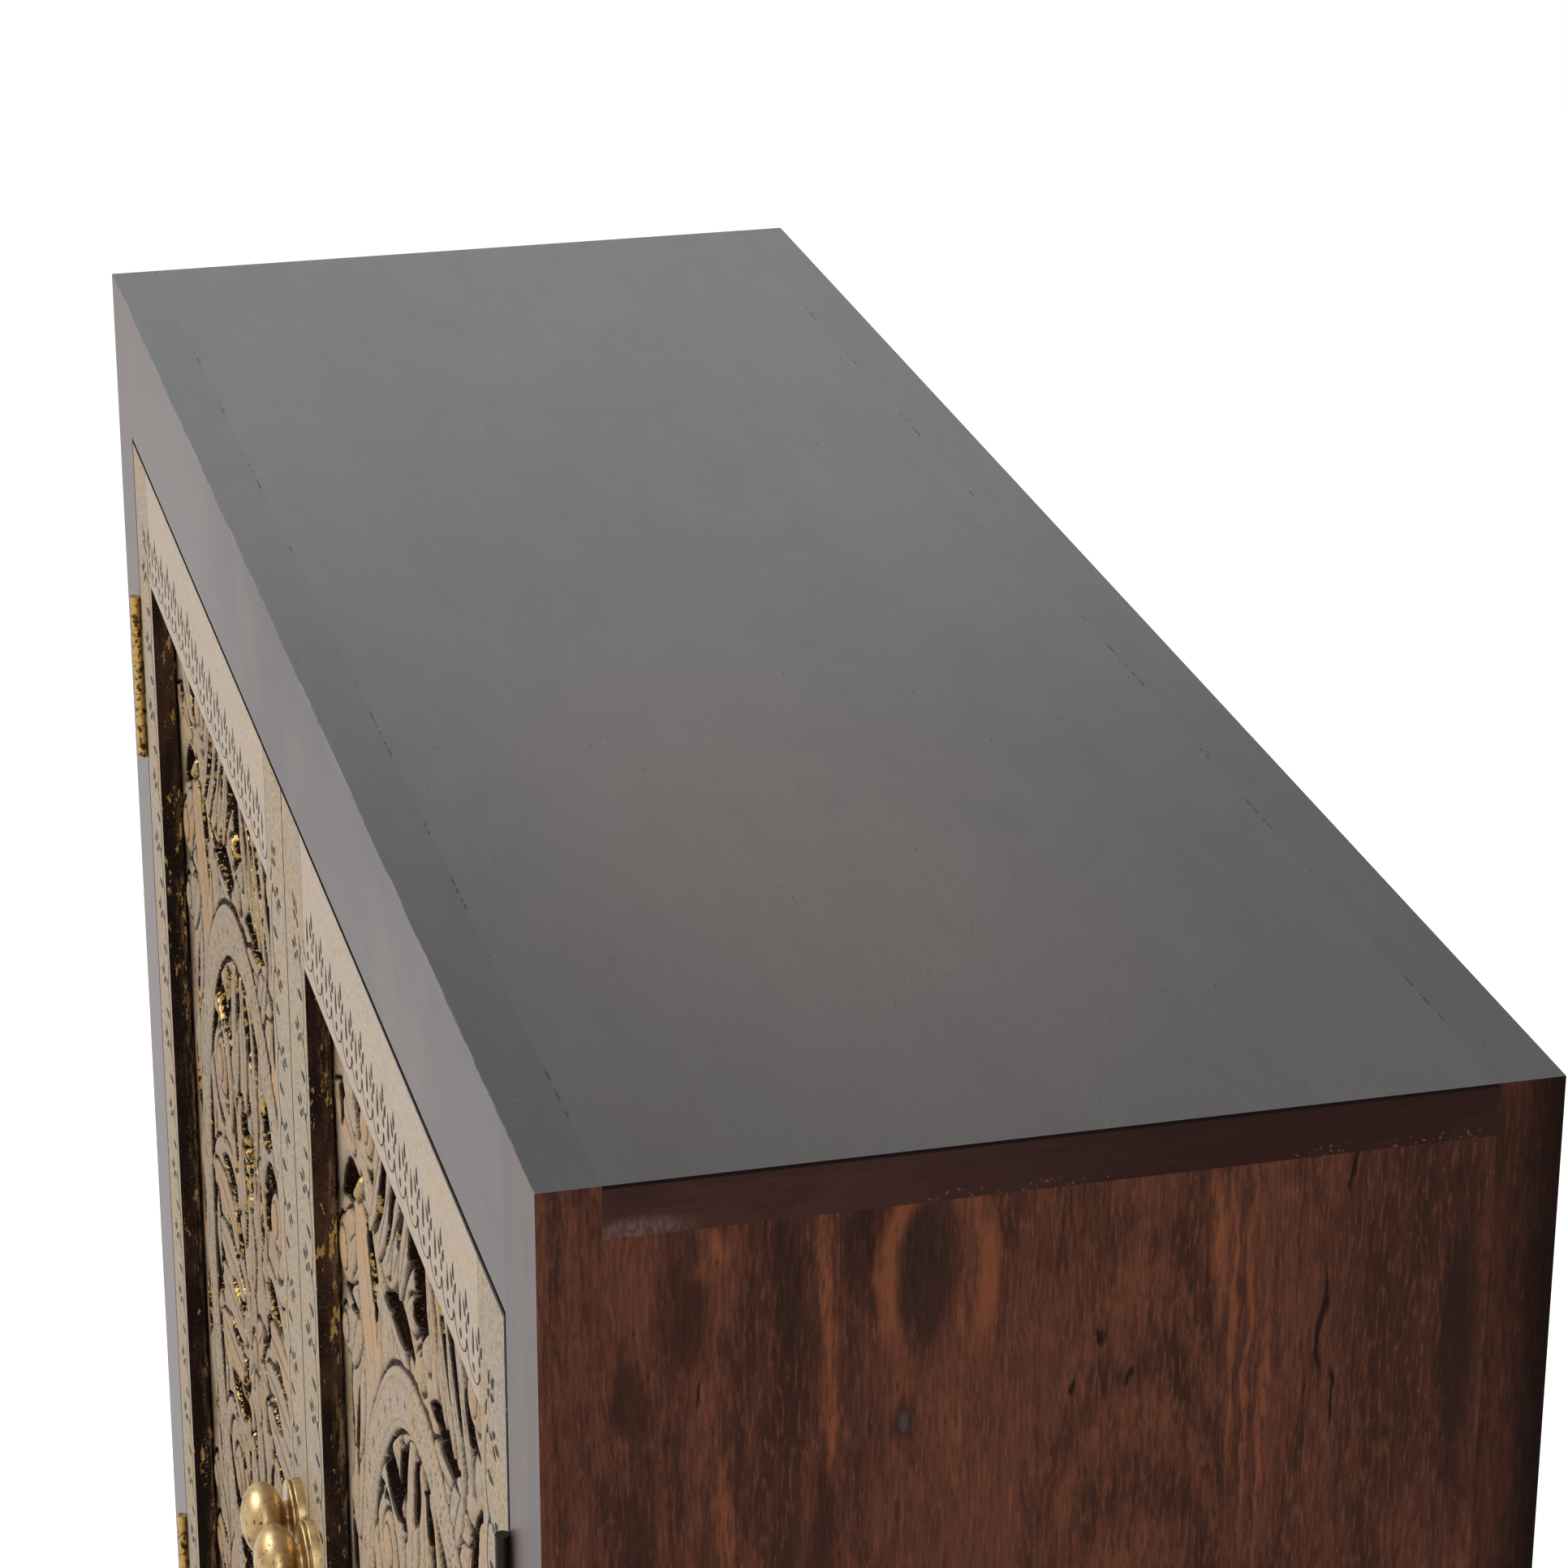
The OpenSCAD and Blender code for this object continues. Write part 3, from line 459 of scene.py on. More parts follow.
def recess_edge(g):
    """Edges of a door: dark, paler and streaked towards the panel, gritty. Also the gilding."""
    _, y, _ = g.placed()
    rear = g.between(g.scaled(g.noise(26), 0.012, y), 0.0105, 0.0175)
    streak = g.times(g.spots(0.44, 0.62, 430, 4, 0.7, z=0.14), rear)
    colour = g.coats(
        (30, 19, 15),
        ((72, 48, 33), g.spots(0.42, 0.66, 30, 4, 0.65, z=0.3)),
        ((142, 110, 78), g.times(streak, g.spots(0.40, 0.60, 9, 2)), 0.75),
        ((22, 15, 12), g.spots(0.55, 0.66, 700, 3, 0.7)),
        ((146, 122, 92), g.spots(0.66, 0.71, 950, 2, 0.6), 0.55),
    )
    flake = g.scaled(g.noise(12, 2), 0.40, g.noise(210, 4, 0.75, z=0.30))
    return colour, g.between(g.scaled(rear, 0.03, flake), 0.83, 0.86)


def gap_shade_and_joint_lines(g, along):
    """On a door's front: painted shade of the gaps at its upper and outer edges, dark lines where rails
    join.
    """
    x, _, z = g.axes()
    out = g.size(x)
    ragged = g.times(g.noise(160, 3, 0.7), 0.0011)
    # Painted shade of the gap: its width grows towards the right door's outer end
    wide = g.scaled(g.between(x, 0.10, 0.53), 0.0018, ragged)
    top = g.less(g.less(DOOR_TOP * MM, z), wide)
    outer = g.less(g.less(DOOR_OUTER * MM, out), wide)
    line = g.below(g.smaller(top, outer), -0.0001, 0.0003)
    if along == "x":
        for at, fades, share in ((OPENING_X[0] + 0.5, 0.0009, 0.75), (OPENING_X[1] - 0.3, 0.0010, 0.40)):
            joint = g.below(g.size(g.less(out, at * MM)), 0.0003, fades)
            line = g.larger(line, g.times(joint, share))
    return line


def door_paint(along):
    """Cream paint on the front, dark edges with gold flecks, plain wood at the back."""
    g = surface(f"door_paint_{along}")
    colour, height = cream_paint(g, along)
    if along == "x":
        colour = g.coats(colour, ((206, 190, 178), 0.35))
    # Painted shade of the gaps, and the rails' joints, in near black
    colour = g.coats(colour, ((20, 13, 11), gap_shade_and_joint_lines(g, along)))
    _, ny, nz = g.axes("Normal")
    front = g.between(g.times(ny, -1.0), 0.4, 0.6)
    back = g.between(ny, 0.4, 0.6)
    edge, flake = recess_edge(g)
    flake = g.times(flake, g.inverse(g.larger(front, back)))
    # Faces that look up, such as the door's top edge in the gap, are painted near black as shade
    edge = g.coats(edge, (GOLD, flake), ((15, 10, 9), g.between(nz, 0.4, 0.6)))
    inside = wood_colour(g, along, *INSIDE)[0]
    return g.shade(
        color=g.coats(edge, (inside, back), (colour, front)),
        metallic=g.times(flake, 0.8), specular=g.scaled(front, 0.17, 0.06),
        roughness=g.scaled(flake, -0.24, 0.66), normal=g.bump(height, 0.15, 0.5),
    )


def ring_print(g):
    """Printed dots along the ring: a row at each edge, and a floret at every fourth one."""
    along, across = g.attribute("ring_along"), g.attribute("ring_across")
    away = g.size(g.less(g.size(across), 9.5))
    beat = g.size(g.less(g.math("FRACT", g.over(along, RING_PITCH)), 0.5))
    row = g.below(g.hypot(away, g.times(beat, RING_PITCH)), 0.7, 1.2)
    step = g.less(g.math("FRACT", g.over(along, RING_PITCH * 4)), 0.5)
    step = g.times(step, RING_PITCH * 4)
    far = g.hypot(across, step)
    turn = g.math("COSINE", g.times(g.math("ARCTAN2", across, step), 4.0))
    petal = g.below(g.less(far, g.scaled(turn, 1.5, 2.6)), -0.4, 0.3)
    return g.larger(row, g.times(petal, g.between(far, 0.5, 1.0)))


def carved_paint():
    """Worn paint over the relief: its attributes say where it is dark, peach, lined or gilded."""
    g = surface("carved_paint")
    x, _, _ = g.placed()
    _, ny, _ = g.axes("Normal")
    # Mask of the left door's panel, where more painted shade and painted glints go
    left_panel_shade_and_glints = g.between(g.times(x, -1.0), 0.10, 0.20)
    grit, rub = g.noise(420, 3, 0.6), g.noise(230, 5, 0.72)
    low, line, edge = g.attribute("low"), g.attribute("line"), g.attribute("edge")

    # Hollows and steep faces: dark backing in the cuts, dark-painted walls, and painted shade on the
    # steep faces, more on the left door
    facing = g.scaled(left_panel_shade_and_glints, -0.16, g.size(ny))
    deep = g.larger(g.between(g.attribute("deep"), 0.03, 0.09), g.below(facing, 0.40, 0.74))
    spark = g.spots(0.62, 0.68, 760, 3, 0.6)
    hollow = g.coats((16, 10, 9), ((40, 27, 21), grit), ((140, 114, 76), spark, 0.45))

    # Peach leaves, glaze in the low places with painted shade added on the left door's panel, and lines
    peach = g.times(g.attribute("tint"), g.spots(0.25, 0.62, 70))
    glaze = g.scaled(left_panel_shade_and_glints, 0.26, g.scaled(grit, 0.5, g.less(low, 0.20)))
    lined = g.plus(g.between(line, 0.1, 0.65), g.scaled(grit, 0.5, -0.22))
    lined = g.math("MULTIPLY", g.between(line, 0.02, 0.15), lined, clamp=True)
    lined = g.larger(lined, g.times(ring_print(g), g.between(grit, 0.3, 0.55)))

    # Gilding on edges, balls and in flecks; on the left door's panel extra gold on edges, flecks and
    # painted glints stand in for highlights
    where = g.larger(g.spots(0.50, 0.62, 18, 2), g.times(left_panel_shade_and_glints, 0.85))
    rubbed = g.between(g.scaled(g.times(edge, where), 0.5, rub), 0.90, 0.97)
    bead = g.times(g.attribute("gold"), g.between(rub, 0.44, 0.52))
    fleck = g.between(g.scaled(left_panel_shade_and_glints, 0.035, g.noise(260, 4, 0.72, z=0.30)), 0.71, 0.74)
    gilt = g.larger(g.larger(rubbed, bead), g.times(fleck, 0.8))
    glint = g.times(g.spots(0.62, 0.66, 380, 3, 0.7, z=0.35), left_panel_shade_and_glints)

    colour, height = cream_paint(g, "z")
    colour = g.coats(
        colour,
        (PEACH, peach, 0.8),
        ((172, 156, 146), g.spots(0.52, 0.75, 33), 0.40),
        ((84, 62, 44), g.between(glaze, 0.08, 0.75), 0.75),
        ((40, 26, 19), lined, 0.94),
        (hollow, deep),
        (GOLD, gilt),
        ((226, 210, 172), g.times(glint, g.between(edge, 0.3, 0.7))),
    )
    return g.shade(
        color=colour, metallic=g.times(gilt, 0.8), specular=g.scaled(deep, -0.22, 0.22),
        roughness=g.scaled(gilt, -0.26, 0.64), normal=g.bump(height, 0.18, 0.6),
    )


def ink():
    """Stencil ink, rubbed off in places down to the paint."""
    g = surface("stencil_ink", roughness=0.7, specular=0.2)
    printed = g.coats((28, 22, 21), ((54, 43, 38), g.noise(60)))
    rubbed = g.spots(0.54, 0.70, 260, 3, 0.65)
    return g.shade(color=g.coats(printed, (cream_paint(g, "z")[0], rubbed, 0.6)))


# Metal and the rest


def metal(name, bright, dull, roughness, wear_scale=120.0, wear=(0.5, 0.68), metallic=1.0):
    g = surface(name, metallic=metallic)
    spot = g.spots(*wear, wear_scale, 4, 0.65)
    pit = g.noise(wear_scale * 6, 2)
    return g.shade(
        color=g.coats(bright, (dull, spot)),
        roughness=g.scaled(spot, 0.22, roughness),
        normal=g.bump(g.plus(g.times(pit, 0.4), spot), 0.08, 0.4),
    )


def gilt_brass():
    """Brushed gold of the knobs, with dark specks where it wore through."""
    g = surface("knob_gold", metallic=1.0)
    brush = g.noise(900, 3, 0.6, z=0.12)
    cloud = g.noise(60, 4, 0.6)
    wear = g.noise(340, 4, 0.7)
    speck = g.between(g.scaled(cloud, 0.25, wear), 0.74, 0.79)
    colour = g.coats(
        (208, 181, 134),
        ((172, 142, 98), g.between(cloud, 0.35, 0.7)),
        ((128, 96, 60), g.between(wear, 0.45, 0.7), 0.35),
        ((62, 42, 26), speck, 0.85),
    )
    return g.shade(
        color=colour, roughness=g.scaled(speck, 0.25, g.scaled(cloud, 0.14, 0.34)),
        normal=g.bump(g.less(g.times(brush, 0.4), speck), 0.08, 0.5),
    )


def dark_backing():
    g = surface("panel_backing", specular=0.2, roughness=0.7)
    colour, height, _ = wood_colour(g, "z", *BACKING)
    return g.shade(color=colour, normal=g.bump(height, 0.1, 0.4))


def glide_felt():
    g = surface("glide_felt", roughness=0.95, specular=0.1)
    fuzz = g.noise(1600, 3, 0.7)
    return g.shade(color=g.coats((24, 24, 24), ((60, 60, 60), fuzz)), normal=g.bump(fuzz, 0.2, 0.8))


def dress(material, names):
    """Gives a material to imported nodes, whose names are apart by spaces."""
    for name in names.split():
        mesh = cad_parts[name].data
        mesh.materials.clear()
        mesh.materials.append(material)


def dress_nodes():
    aged_brass = metal("aged_brass", (196, 158, 92), (62, 46, 30), 0.36, 190.0, (0.50, 0.62))
    # The right door's hinges are the same brass as the left's, painted dark as shade and dark
    # reflections
    hinge_brass_in_painted_shade = metal("hinge_brass_painted_dark_for_shade", (40, 35, 32), (92, 74, 48), 0.42, 260.0, (0.6, 0.74), 0.85)
    bright_steel = metal("bright_steel", (188, 188, 192), (120, 120, 124), 0.3)
    rail_paint, stile_paint, backing = door_paint("x"), door_paint("z"), dark_backing()
    dress(side_wood(), "left_side_board right_side_board")
    dress(case_wood("stained_top", "x", is_top_board=True), "top_board")
    dress(case_wood("stained_rail", "x"),
          "front_top_rail front_bottom_rail back_top_rail back_bottom_rail")
    dress(case_wood("stained_upright", "z", STAINED_WARM), "front_left_stile front_right_stile")
    dress(case_wood("dark_post", "z", side_tone=DARK_POST, near=0.42, far=0.92),
          "back_left_post back_right_post")
    dress(plain_wood("walnut_feet", "z", WALNUT, 0.6),
          "front_left_foot front_right_foot back_left_foot back_right_foot")
    dress(plain_wood("inside_boards", "x", INSIDE),
          "bottom_board back_panel lower_shelf upper_shelf door_stop_strip")
    dress(plain_wood("inside_cleats", "y", INSIDE), "shelf_cleats corner_blocks")
    dress(bright_steel, "cleat_screws stop_strip_screws catch_magnets foot_bolts")
    dress(aged_brass, "frame_hinge_screws")
    dress(glide_felt(), "foot_glides")
    # The right hinges take the brass that is painted dark for shade
    for side, hinge in (("left", aged_brass), ("right", hinge_brass_in_painted_shade)):
        dress(stile_paint, f"{side}_door_hinge_stile {side}_door_meeting_stile")
        dress(rail_paint, f"{side}_door_top_rail {side}_door_bottom_rail")
        dress(backing, f"{side}_backing_board")
        dress(hinge, f"{side}_frame_hinge_leaves {side}_hinge_pins")
        dress(hinge, f"{side}_door_hinge_leaves {side}_door_hinge_screws")
        dress(bright_steel, f"{side}_knob_bolt {side}_strike_disc {side}_strike_screw")


# Stage


def add_object(name, data):
    thing = bpy.data.objects.new(name, data)
    bpy.context.scene.collection.objects.link(thing)
    return thing


def add_piece(name, points, faces, material):
    mesh = bpy.data.meshes.new(name)
    mesh.from_pydata(points, [], faces)
    mesh.materials.append(material)
    return add_object(name, mesh)


def towards(at, aim):
    """Matrix of a lamp or camera that stands at one point and looks at another."""
    turn = (Vector(aim) - Vector(at)).to_track_quat("-Z", "Y")
    return Matrix.Translation(at) @ turn.to_matrix().to_4x4()


def make_camera():
    data = bpy.data.cameras.new("camera")
    data.sensor_width = 36
    data.lens = LENS_MM
    data.clip_start, data.clip_end = 0.05, 100
    camera = add_object("camera", data)
    roll = Matrix.Rotation(math.radians(CAMERA_ROLL), 4, "Z")
    camera.matrix_world = towards(CAMERA_AT, CAMERA_AIM) @ roll
    bpy.context.scene.camera = camera


def make_lamps():
    for name, (at, aim, size, watts) in LAMPS.items():
        data = bpy.data.lights.new(name, "AREA")
        data.shape = "DISK"
        data.size = size
        data.energy = watts
        add_object(name, data).matrix_world = towards(at, aim)


def make_world():
    """White behind the object. Reflections see a studio that darkens overhead."""
    g = Graph(bpy.data.worlds.new("studio"))
    bpy.context.scene.world = g.owner
    g.nodes.clear()

    def background(strength, colour=(1, 1, 1, 1)):
        return g.add("ShaderNodeBackground", {"Color": colour, "Strength": strength}).outputs[0]

    def mixed(factor, first, second):
        return g.add("ShaderNodeMixShader", {0: factor, 1: first, 2: second}).outputs[0]

    path = g.add("ShaderNodeLightPath").outputs
    overhead = g.between(g.axes("Generated")[2], *OVERHEAD, "LINEAR")
    soft, white = background(WORLD_LEVEL, (1.0, 0.99, 0.975, 1)), background(1.0)
    mirrored = mixed(overhead, background(STUDIO_LEVEL), background(OVERHEAD_LEVEL))
    result = mixed(path["Is Glossy Ray"], soft, mirrored)
    for ray in ("Is Transmission Ray", "Is Camera Ray"):
        result = mixed(path[ray], result, white)
    g.add("ShaderNodeOutputWorld", {"Surface": result})


def floor_material():
    """Pale floor: it takes the object's shadow, and where it is lit the camera sees it white."""
    g = surface("pale_floor", color=(0.78, 0.78, 0.78, 1), roughness=0.9, specular=0.1)
    g.shade(glow_color=(1, 1, 1, 1))
    path = g.add("ShaderNodeLightPath").outputs
    glow = g.times(path["Is Camera Ray"], FLOOR_GLOW)
    return g.shade(glow=g.scaled(path["Is Glossy Ray"], FLOOR_MIRRORED, glow))


def make_stage():
    half = 40.0
    corners = [(-half, -half, 0), (half, -half, 0), (half, half, 0), (-half, half, 0)]
    floor = add_piece("floor", corners, [(0, 1, 2, 3)], floor_material())
    make_world()
    make_lamps()
    bpy.context.scene.view_settings.view_transform = "Standard"


# Carved relief, in mm: u runs away from the middle of the panel and v up, and each row is used in
# all four quarters. A cut or leaf has a start, a heading, its turn in degrees, length, half width.

# Half axes of the oval ring, its width, and the pitch of its print
RING_A, RING_B, RING_BAND = 190.5, 266.0, 32.0
RING_PITCH = 6.4

# Openings outside the ring and within it, and the outline of the one over it
OUTER_CUTS = (
    ((14, 272), 20, -42, 78, 9), ((66, 374), -72, 22, 92, 6), ((46, 374), -74, 16, 74, 4.5),
    ((28, 372), -76, 14, 58, 3.5), ((116, 354), 40, -170, 62, 7.5), ((112, 336), -104, 116, 40, 4),
    ((138, 290), -132, 44, 62, 7), ((160, 296), -18, -26, 62, 10), ((166, 220), 4, -20, 46, 4.5),
    ((204, 182), -98, 12, 66, 8), ((176, 176), -72, -10, 56, 4), ((207, 98), -108, 30, 62, 7),
    ((205, -20), 90, 0.1, 40, 5), ((198, 352), -92, 8, 46, 7), ((166, 372), -34, -40, 34, 5),
)
INNER_CUTS = (
    ((9, 232), -74, 10, 48, 8.5), ((34, 224), -38, -46, 62, 6), ((112, 190), -172, 26, 62, 14),
    ((118, 148), 128, 232, 100, 7), ((147, 128), -84, -14, 78, 7), ((9, 160), -66, -36, 64, 10),
    ((44, 134), -72, -30, 44, 6), ((112, 70), 168, 34, 68, 10), ((156, 40), -128, 56, 66, 9),
    ((22, 84), -80, 34, 40, 5), ((34, 24), 42, 26, 46, 7), ((46, 0), 0, 0.1, 46, 7),
    ((106, 34), 176, 22, 40, 5),
)
TULIP = ((0, 290), (15, 308), (22, 328), (17, 350), (5, 372), (0, 374))

# Leaves, each with its share of peach at the end
OUTER_LEAVES = (
    ((186, 66), -87, 8, 110, 19, 0.9), ((190, 128), -78, -12, 84, 17, 0.7),
    ((172, 158), -62, -26, 76, 17, 0.2), ((158, 206), -56, -26, 80, 17, 0.3),
    ((152, 238), -36, -40, 70, 15, 0.1), ((162, 268), -24, -40, 60, 14, 0.6),
    ((160, 312), 2, 12, 60, 12, 0.9), ((152, 322), 30, 16, 74, 13, 0.2),
    ((148, 350), 66, -30, 44, 10, 0.7), ((118, 262), 176, 22, 106, 13, 0.1),
    ((124, 288), 118, 10, 96, 9.5, 0.15), ((106, 282), 124, 4, 108, 8.5, 0.1),
    ((86, 284), 128, 0.1, 96, 8.5, 0.3), ((66, 288), 122, 6, 88, 8, 0.15),
    ((46, 292), 112, 12, 84, 7.5, 0.4), ((162, 290), -124, 24, 112, 28, 1.0),
    ((104, 282), -140, 34, 66, 11, 0.1),
)
INNER_LEAVES = (
    ((66, 226), -88, 4, 86, 14, 0.2), ((140, 176), 128, 24, 96, 12, 0.1),
    ((24, 236), -84, 6, 96, 13, 0.3), ((150, 150), -96, -6, 110, 12, 0.7),
    ((156, 38), 146, 30, 132, 20, 0.2), ((146, 50), 182, 6, 106, 14, 0.8),
    ((142, 14), 180, 0.1, 104, 14, 0.1), ((28, 66), 84, 18, 84, 14, 0.3),
    ((60, 88), 122, -50, 62, 12, 0.8), ((0, 34), 90, 0.1, 58, 12, 0.2),
    ((0, 150), 90, 0.1, 84, 12, 0.2),
)
# Balls: place, radius, peach, and whether they are gilded
OUTER_BALLS = (
    ((129.5, 337.5), 14.5, 0.7, 0), ((203, 238), 17, 0.9, 0), ((206, 193), 13, 0.3, 0),
    ((147, 299), 4.6, 0, 1), ((154, 294), 4.4, 0, 1), ((161, 289), 4.0, 0, 1),
    ((17, 300), 9, 0.2, 0), ((0, 281), 10, 0.4, 0),
)
INNER_BALLS = (
    ((98.5, 132.8), 17, 0.8, 0), ((0, 0), 13, 0.9, 0), ((0, 97), 4.8, 0, 1), ((0, 107), 4.6, 0, 1),
    ((0, 117), 4.2, 0, 1), ((0, 126), 3.8, 0, 1), ((0, 134), 3.4, 0, 1),
)
# Scroll: centre, radius, half width, and the angles of its ends
SCROLL = ((98.5, 132.8), 40.0, 8.5, -95, 215)

# Heights over the back of the panel
GROUND_MM, PILLOW_MM = 6.9, 1.9
LEAF_MM, RING_MM = 10.0, 10.6
SKIN_MM = 0.4

RELIEF_STEP = 1.2
RELIEF_FACES = 190000
FAR_OFF = 99.0


def blade_field(u, v, start, heading, bend, length, half_w, fullness=1.0):
    """Distance to a curved blade, the place along it, and across it from 0 to 1."""
    heading, bend = math.radians(heading), math.radians(bend)
    r = length / bend
    cu, cv = start[0] - r * math.sin(heading), start[1] + r * math.cos(heading)
    du, dv = u - cu, v - cv
    first = math.atan2(start[1] - cv, start[0] - cu)
    turn = (np.arctan2(dv, du) - first - bend / 2 + math.pi) % (2 * math.pi) - math.pi + bend / 2
    t = turn / bend
    inside = np.clip(t, 0, 1)
    across = np.abs(np.hypot(du, dv) - abs(r))
    width = half_w * np.sin(math.pi * inside) ** fullness
    end = first + bend * inside
    beyond = np.hypot(du - abs(r) * np.cos(end), dv - abs(r) * np.sin(end))
    d = np.where((t >= 0) & (t <= 1), across - width, beyond)
    return d, t, np.clip(across / np.maximum(width, 0.05), 0, 1)


def ellipse_field(u, v, a, b):
    k = np.hypot(u / a, v / b)
    return (k - 1) * k / (np.hypot(u / a ** 2, v / b ** 2) + 1e-9)


def outline_field(u, v, points):
    """Distance to a closed outline that is mirrored about u = 0."""
    points = np.array(points, float)
    points = np.vstack([points, points[::-1] * [-1, 1]])
    d = np.full(u.shape, 1e9)
    inside = np.zeros(u.shape, bool)
    for a, b in zip(points, np.roll(points, -1, 0)):
        e = b - a
        if e @ e < 1e-9:
            continue
        t = np.clip(((u - a[0]) * e[0] + (v - a[1]) * e[1]) / (e @ e), 0, 1)
        d = np.minimum(d, np.hypot(u - a[0] - t * e[0], v - a[1] - t * e[1]))
        inside ^= ((a[1] > v) != (b[1] > v)) & (u < e[0] * (v - a[1]) / (e[1] + 1e-12) + a[0])
    return np.where(inside, -d, d)


class Relief:
    """Height and tones of one carved panel on a grid, in mm over its back."""

    def __init__(self, half_w, half_h, seed):
        self.halves = half_w, half_h
        steps = [np.linspace(-s, s, int(round(2 * s / RELIEF_STEP)) + 1) for s in self.halves]
        u, v = self.u, self.v = np.meshgrid(*steps)
        # The carver's hand: every quarter comes out a little different
        sway_u = 1.1 * np.sin(v / 31 + 1.3 + seed) * np.cos(u / 43 + seed)
        sway_v = 1.1 * np.sin(u / 37 + 0.4 + seed) * np.cos(v / 29 + 1)
        self.x = np.abs(u + (sway_u + 0.5 * np.sin(u / 17 + v / 23 + seed)))
        self.y = np.abs(v + (sway_v + 0.5 * np.cos(u / 19 - v / 13 + seed)))
        self.outer = ellipse_field(self.x, self.y, RING_A, RING_B)
        self.inner = ellipse_field(self.x, self.y, RING_A - RING_BAND, RING_B - RING_BAND)
        self.h = np.full(u.shape, GROUND_MM)
        self.tint = np.full(u.shape, 0.3)
        self.line = np.zeros(u.shape)
        self.gold = np.zeros(u.shape)
        self.hole = self.find_holes()
        self.lay_forms()
        self.lay_ring()
        self.cut_holes()

    def find_holes(self):
        """Distance to the nearest opening, below 0 in it."""
        def nearest(cuts):
            return np.minimum.reduce([blade_field(self.x, self.y, *cut)[0] for cut in cuts])
        outer = np.minimum(outline_field(self.x, self.y, TULIP), nearest(OUTER_CUTS))
        inner = np.maximum(nearest(INNER_CUTS), self.inner + 1)
        hole = np.minimum(np.maximum(outer, 1 - self.outer), inner)
        rim = np.minimum(self.halves[0] - np.abs(self.u), self.halves[1] - np.abs(self.v))
        return np.where(rim < 4, np.maximum(hole, 4 - rim), hole)

    def put(self, inside, **values):
        """Sets layers of the panel inside a mask."""
        for layer, value in values.items():
            setattr(self, layer, np.where(inside, value, getattr(self, layer)))

    def over(self, d, height, tint, mask):
        """Lays a form over what is there, with a trench around it."""
        inside = mask & (d < 0)
        trench = np.where(mask & ~inside, np.clip(1.5 - np.abs(d - 1.1) / 1.1, 0, 1), 0)
        self.h -= 2.6 * trench
        self.line = np.maximum(self.line, trench)
        self.put(inside, h=height, line=0, tint=tint, gold=0)
        return inside

    def leaf(self, start, heading, bend, length, half_w, tint, mask):
        d, t, a = blade_field(self.x, self.y, start, heading, bend, length, half_w, 0.6)
        cup = 1.1 * (1 - a ** 2) * np.clip(half_w / 14, 0.4, 1.2)
        height = LEAF_MM - 1.6 * a ** 8 - cup
        rib = np.exp(-(a * half_w / 1.1) ** 2) * np.clip(np.minimum(t, 1 - t) * 6, 0, 1)
        if tint > 0.95:
            veins = np.sin(2 * math.pi * (t * length / 11 - a * half_w / 12))
            height += 0.35 * veins * a * (1 - a)
        inside = self.over(d, height - 0.6 * rib, tint, mask)
        self.put(inside, line=np.maximum(self.line, 0.6 * rib))

    def ball(self, centre, radius, tint, gilded, mask):
        du, dv = self.x - centre[0], self.y - centre[1]
        r = np.hypot(du, dv)
        k = np.clip(r / radius, 0, 1)
        height = LEAF_MM - 3.2 + 3.6 * np.sqrt(1 - k ** 2)
        turn = np.abs(r - 0.62 * radius - 1.5 * np.sin(np.arctan2(dv, du)))
        groove = np.clip(1 - turn / 1.5, 0, 1) * (radius > 12)
        inside = self.over(r - radius, height - 1.2 * groove, tint, mask)
        self.put(inside, line=np.maximum(self.line, 0.7 * groove))
        if gilded:
            self.put(inside, gold=1)

    def scroll(self, mask):
        (cu, cv), radius, half_w, start, end = SCROLL
        middle = (start + end) / 2
        turn = (np.degrees(np.arctan2(self.y - cv, self.x - cu)) - middle + 180) % 360 - 180 + middle
        t = (turn - start) / (end - start)
        width = half_w * (0.35 + 0.65 * np.sin(math.pi * np.clip(t * 0.8 + 0.1, 0, 1)))
        across = np.abs(np.hypot(self.x - cu, self.y - cv) - radius)
        d = np.where((t >= 0) & (t <= 1), across - width, 9)
        a = np.clip(across / width, 0, 1)
        self.over(d, LEAF_MM - 1.8 * a ** 4, 0.15, mask)

    def lay_forms(self):
        out, within = self.outer > 0, self.inner < 0
        self.h += PILLOW_MM * (1 - np.exp(-np.clip(self.hole, 0, None) / 6))
        for row in OUTER_LEAVES:
            self.leaf(*row, out)
        for row in INNER_LEAVES:
            self.leaf(*row, within)
        self.scroll(within)
        for angle in (0, 45, 90):
            root = (9 * math.cos(math.radians(angle)), 9 * math.sin(math.radians(angle)))
            self.leaf(root, angle, 0.1, 36, 10.5, 0.5, within)
        for row in OUTER_BALLS:
            self.ball(*row, out)
        for row in INNER_BALLS:
            self.ball(*row, within)

    def lay_ring(self):
        """The rounded band, between its two outline grooves."""
        ring = (self.outer < 0) & (self.inner > 0)
        middle = (self.inner + self.outer) / 2
        crown = np.clip(np.abs(middle) / (RING_BAND / 2), 0, 1)
        self.put(ring, h=RING_MM - 1.1 * crown ** 2 - 1.4 * crown ** 10, line=0, tint=0.12, gold=0)
        groove = np.clip(1.4 - np.minimum(np.abs(self.outer), np.abs(self.inner)) / 1.4, 0, 1)
        self.h -= 2.4 * groove
        self.line = np.maximum(self.line, groove)
        self.ring_across = np.where(ring, middle, FAR_OFF)
        angle = np.arctan2(self.x * RING_B / RING_A, self.y)
        self.ring_along = angle * (RING_A + RING_B - RING_BAND) / 2

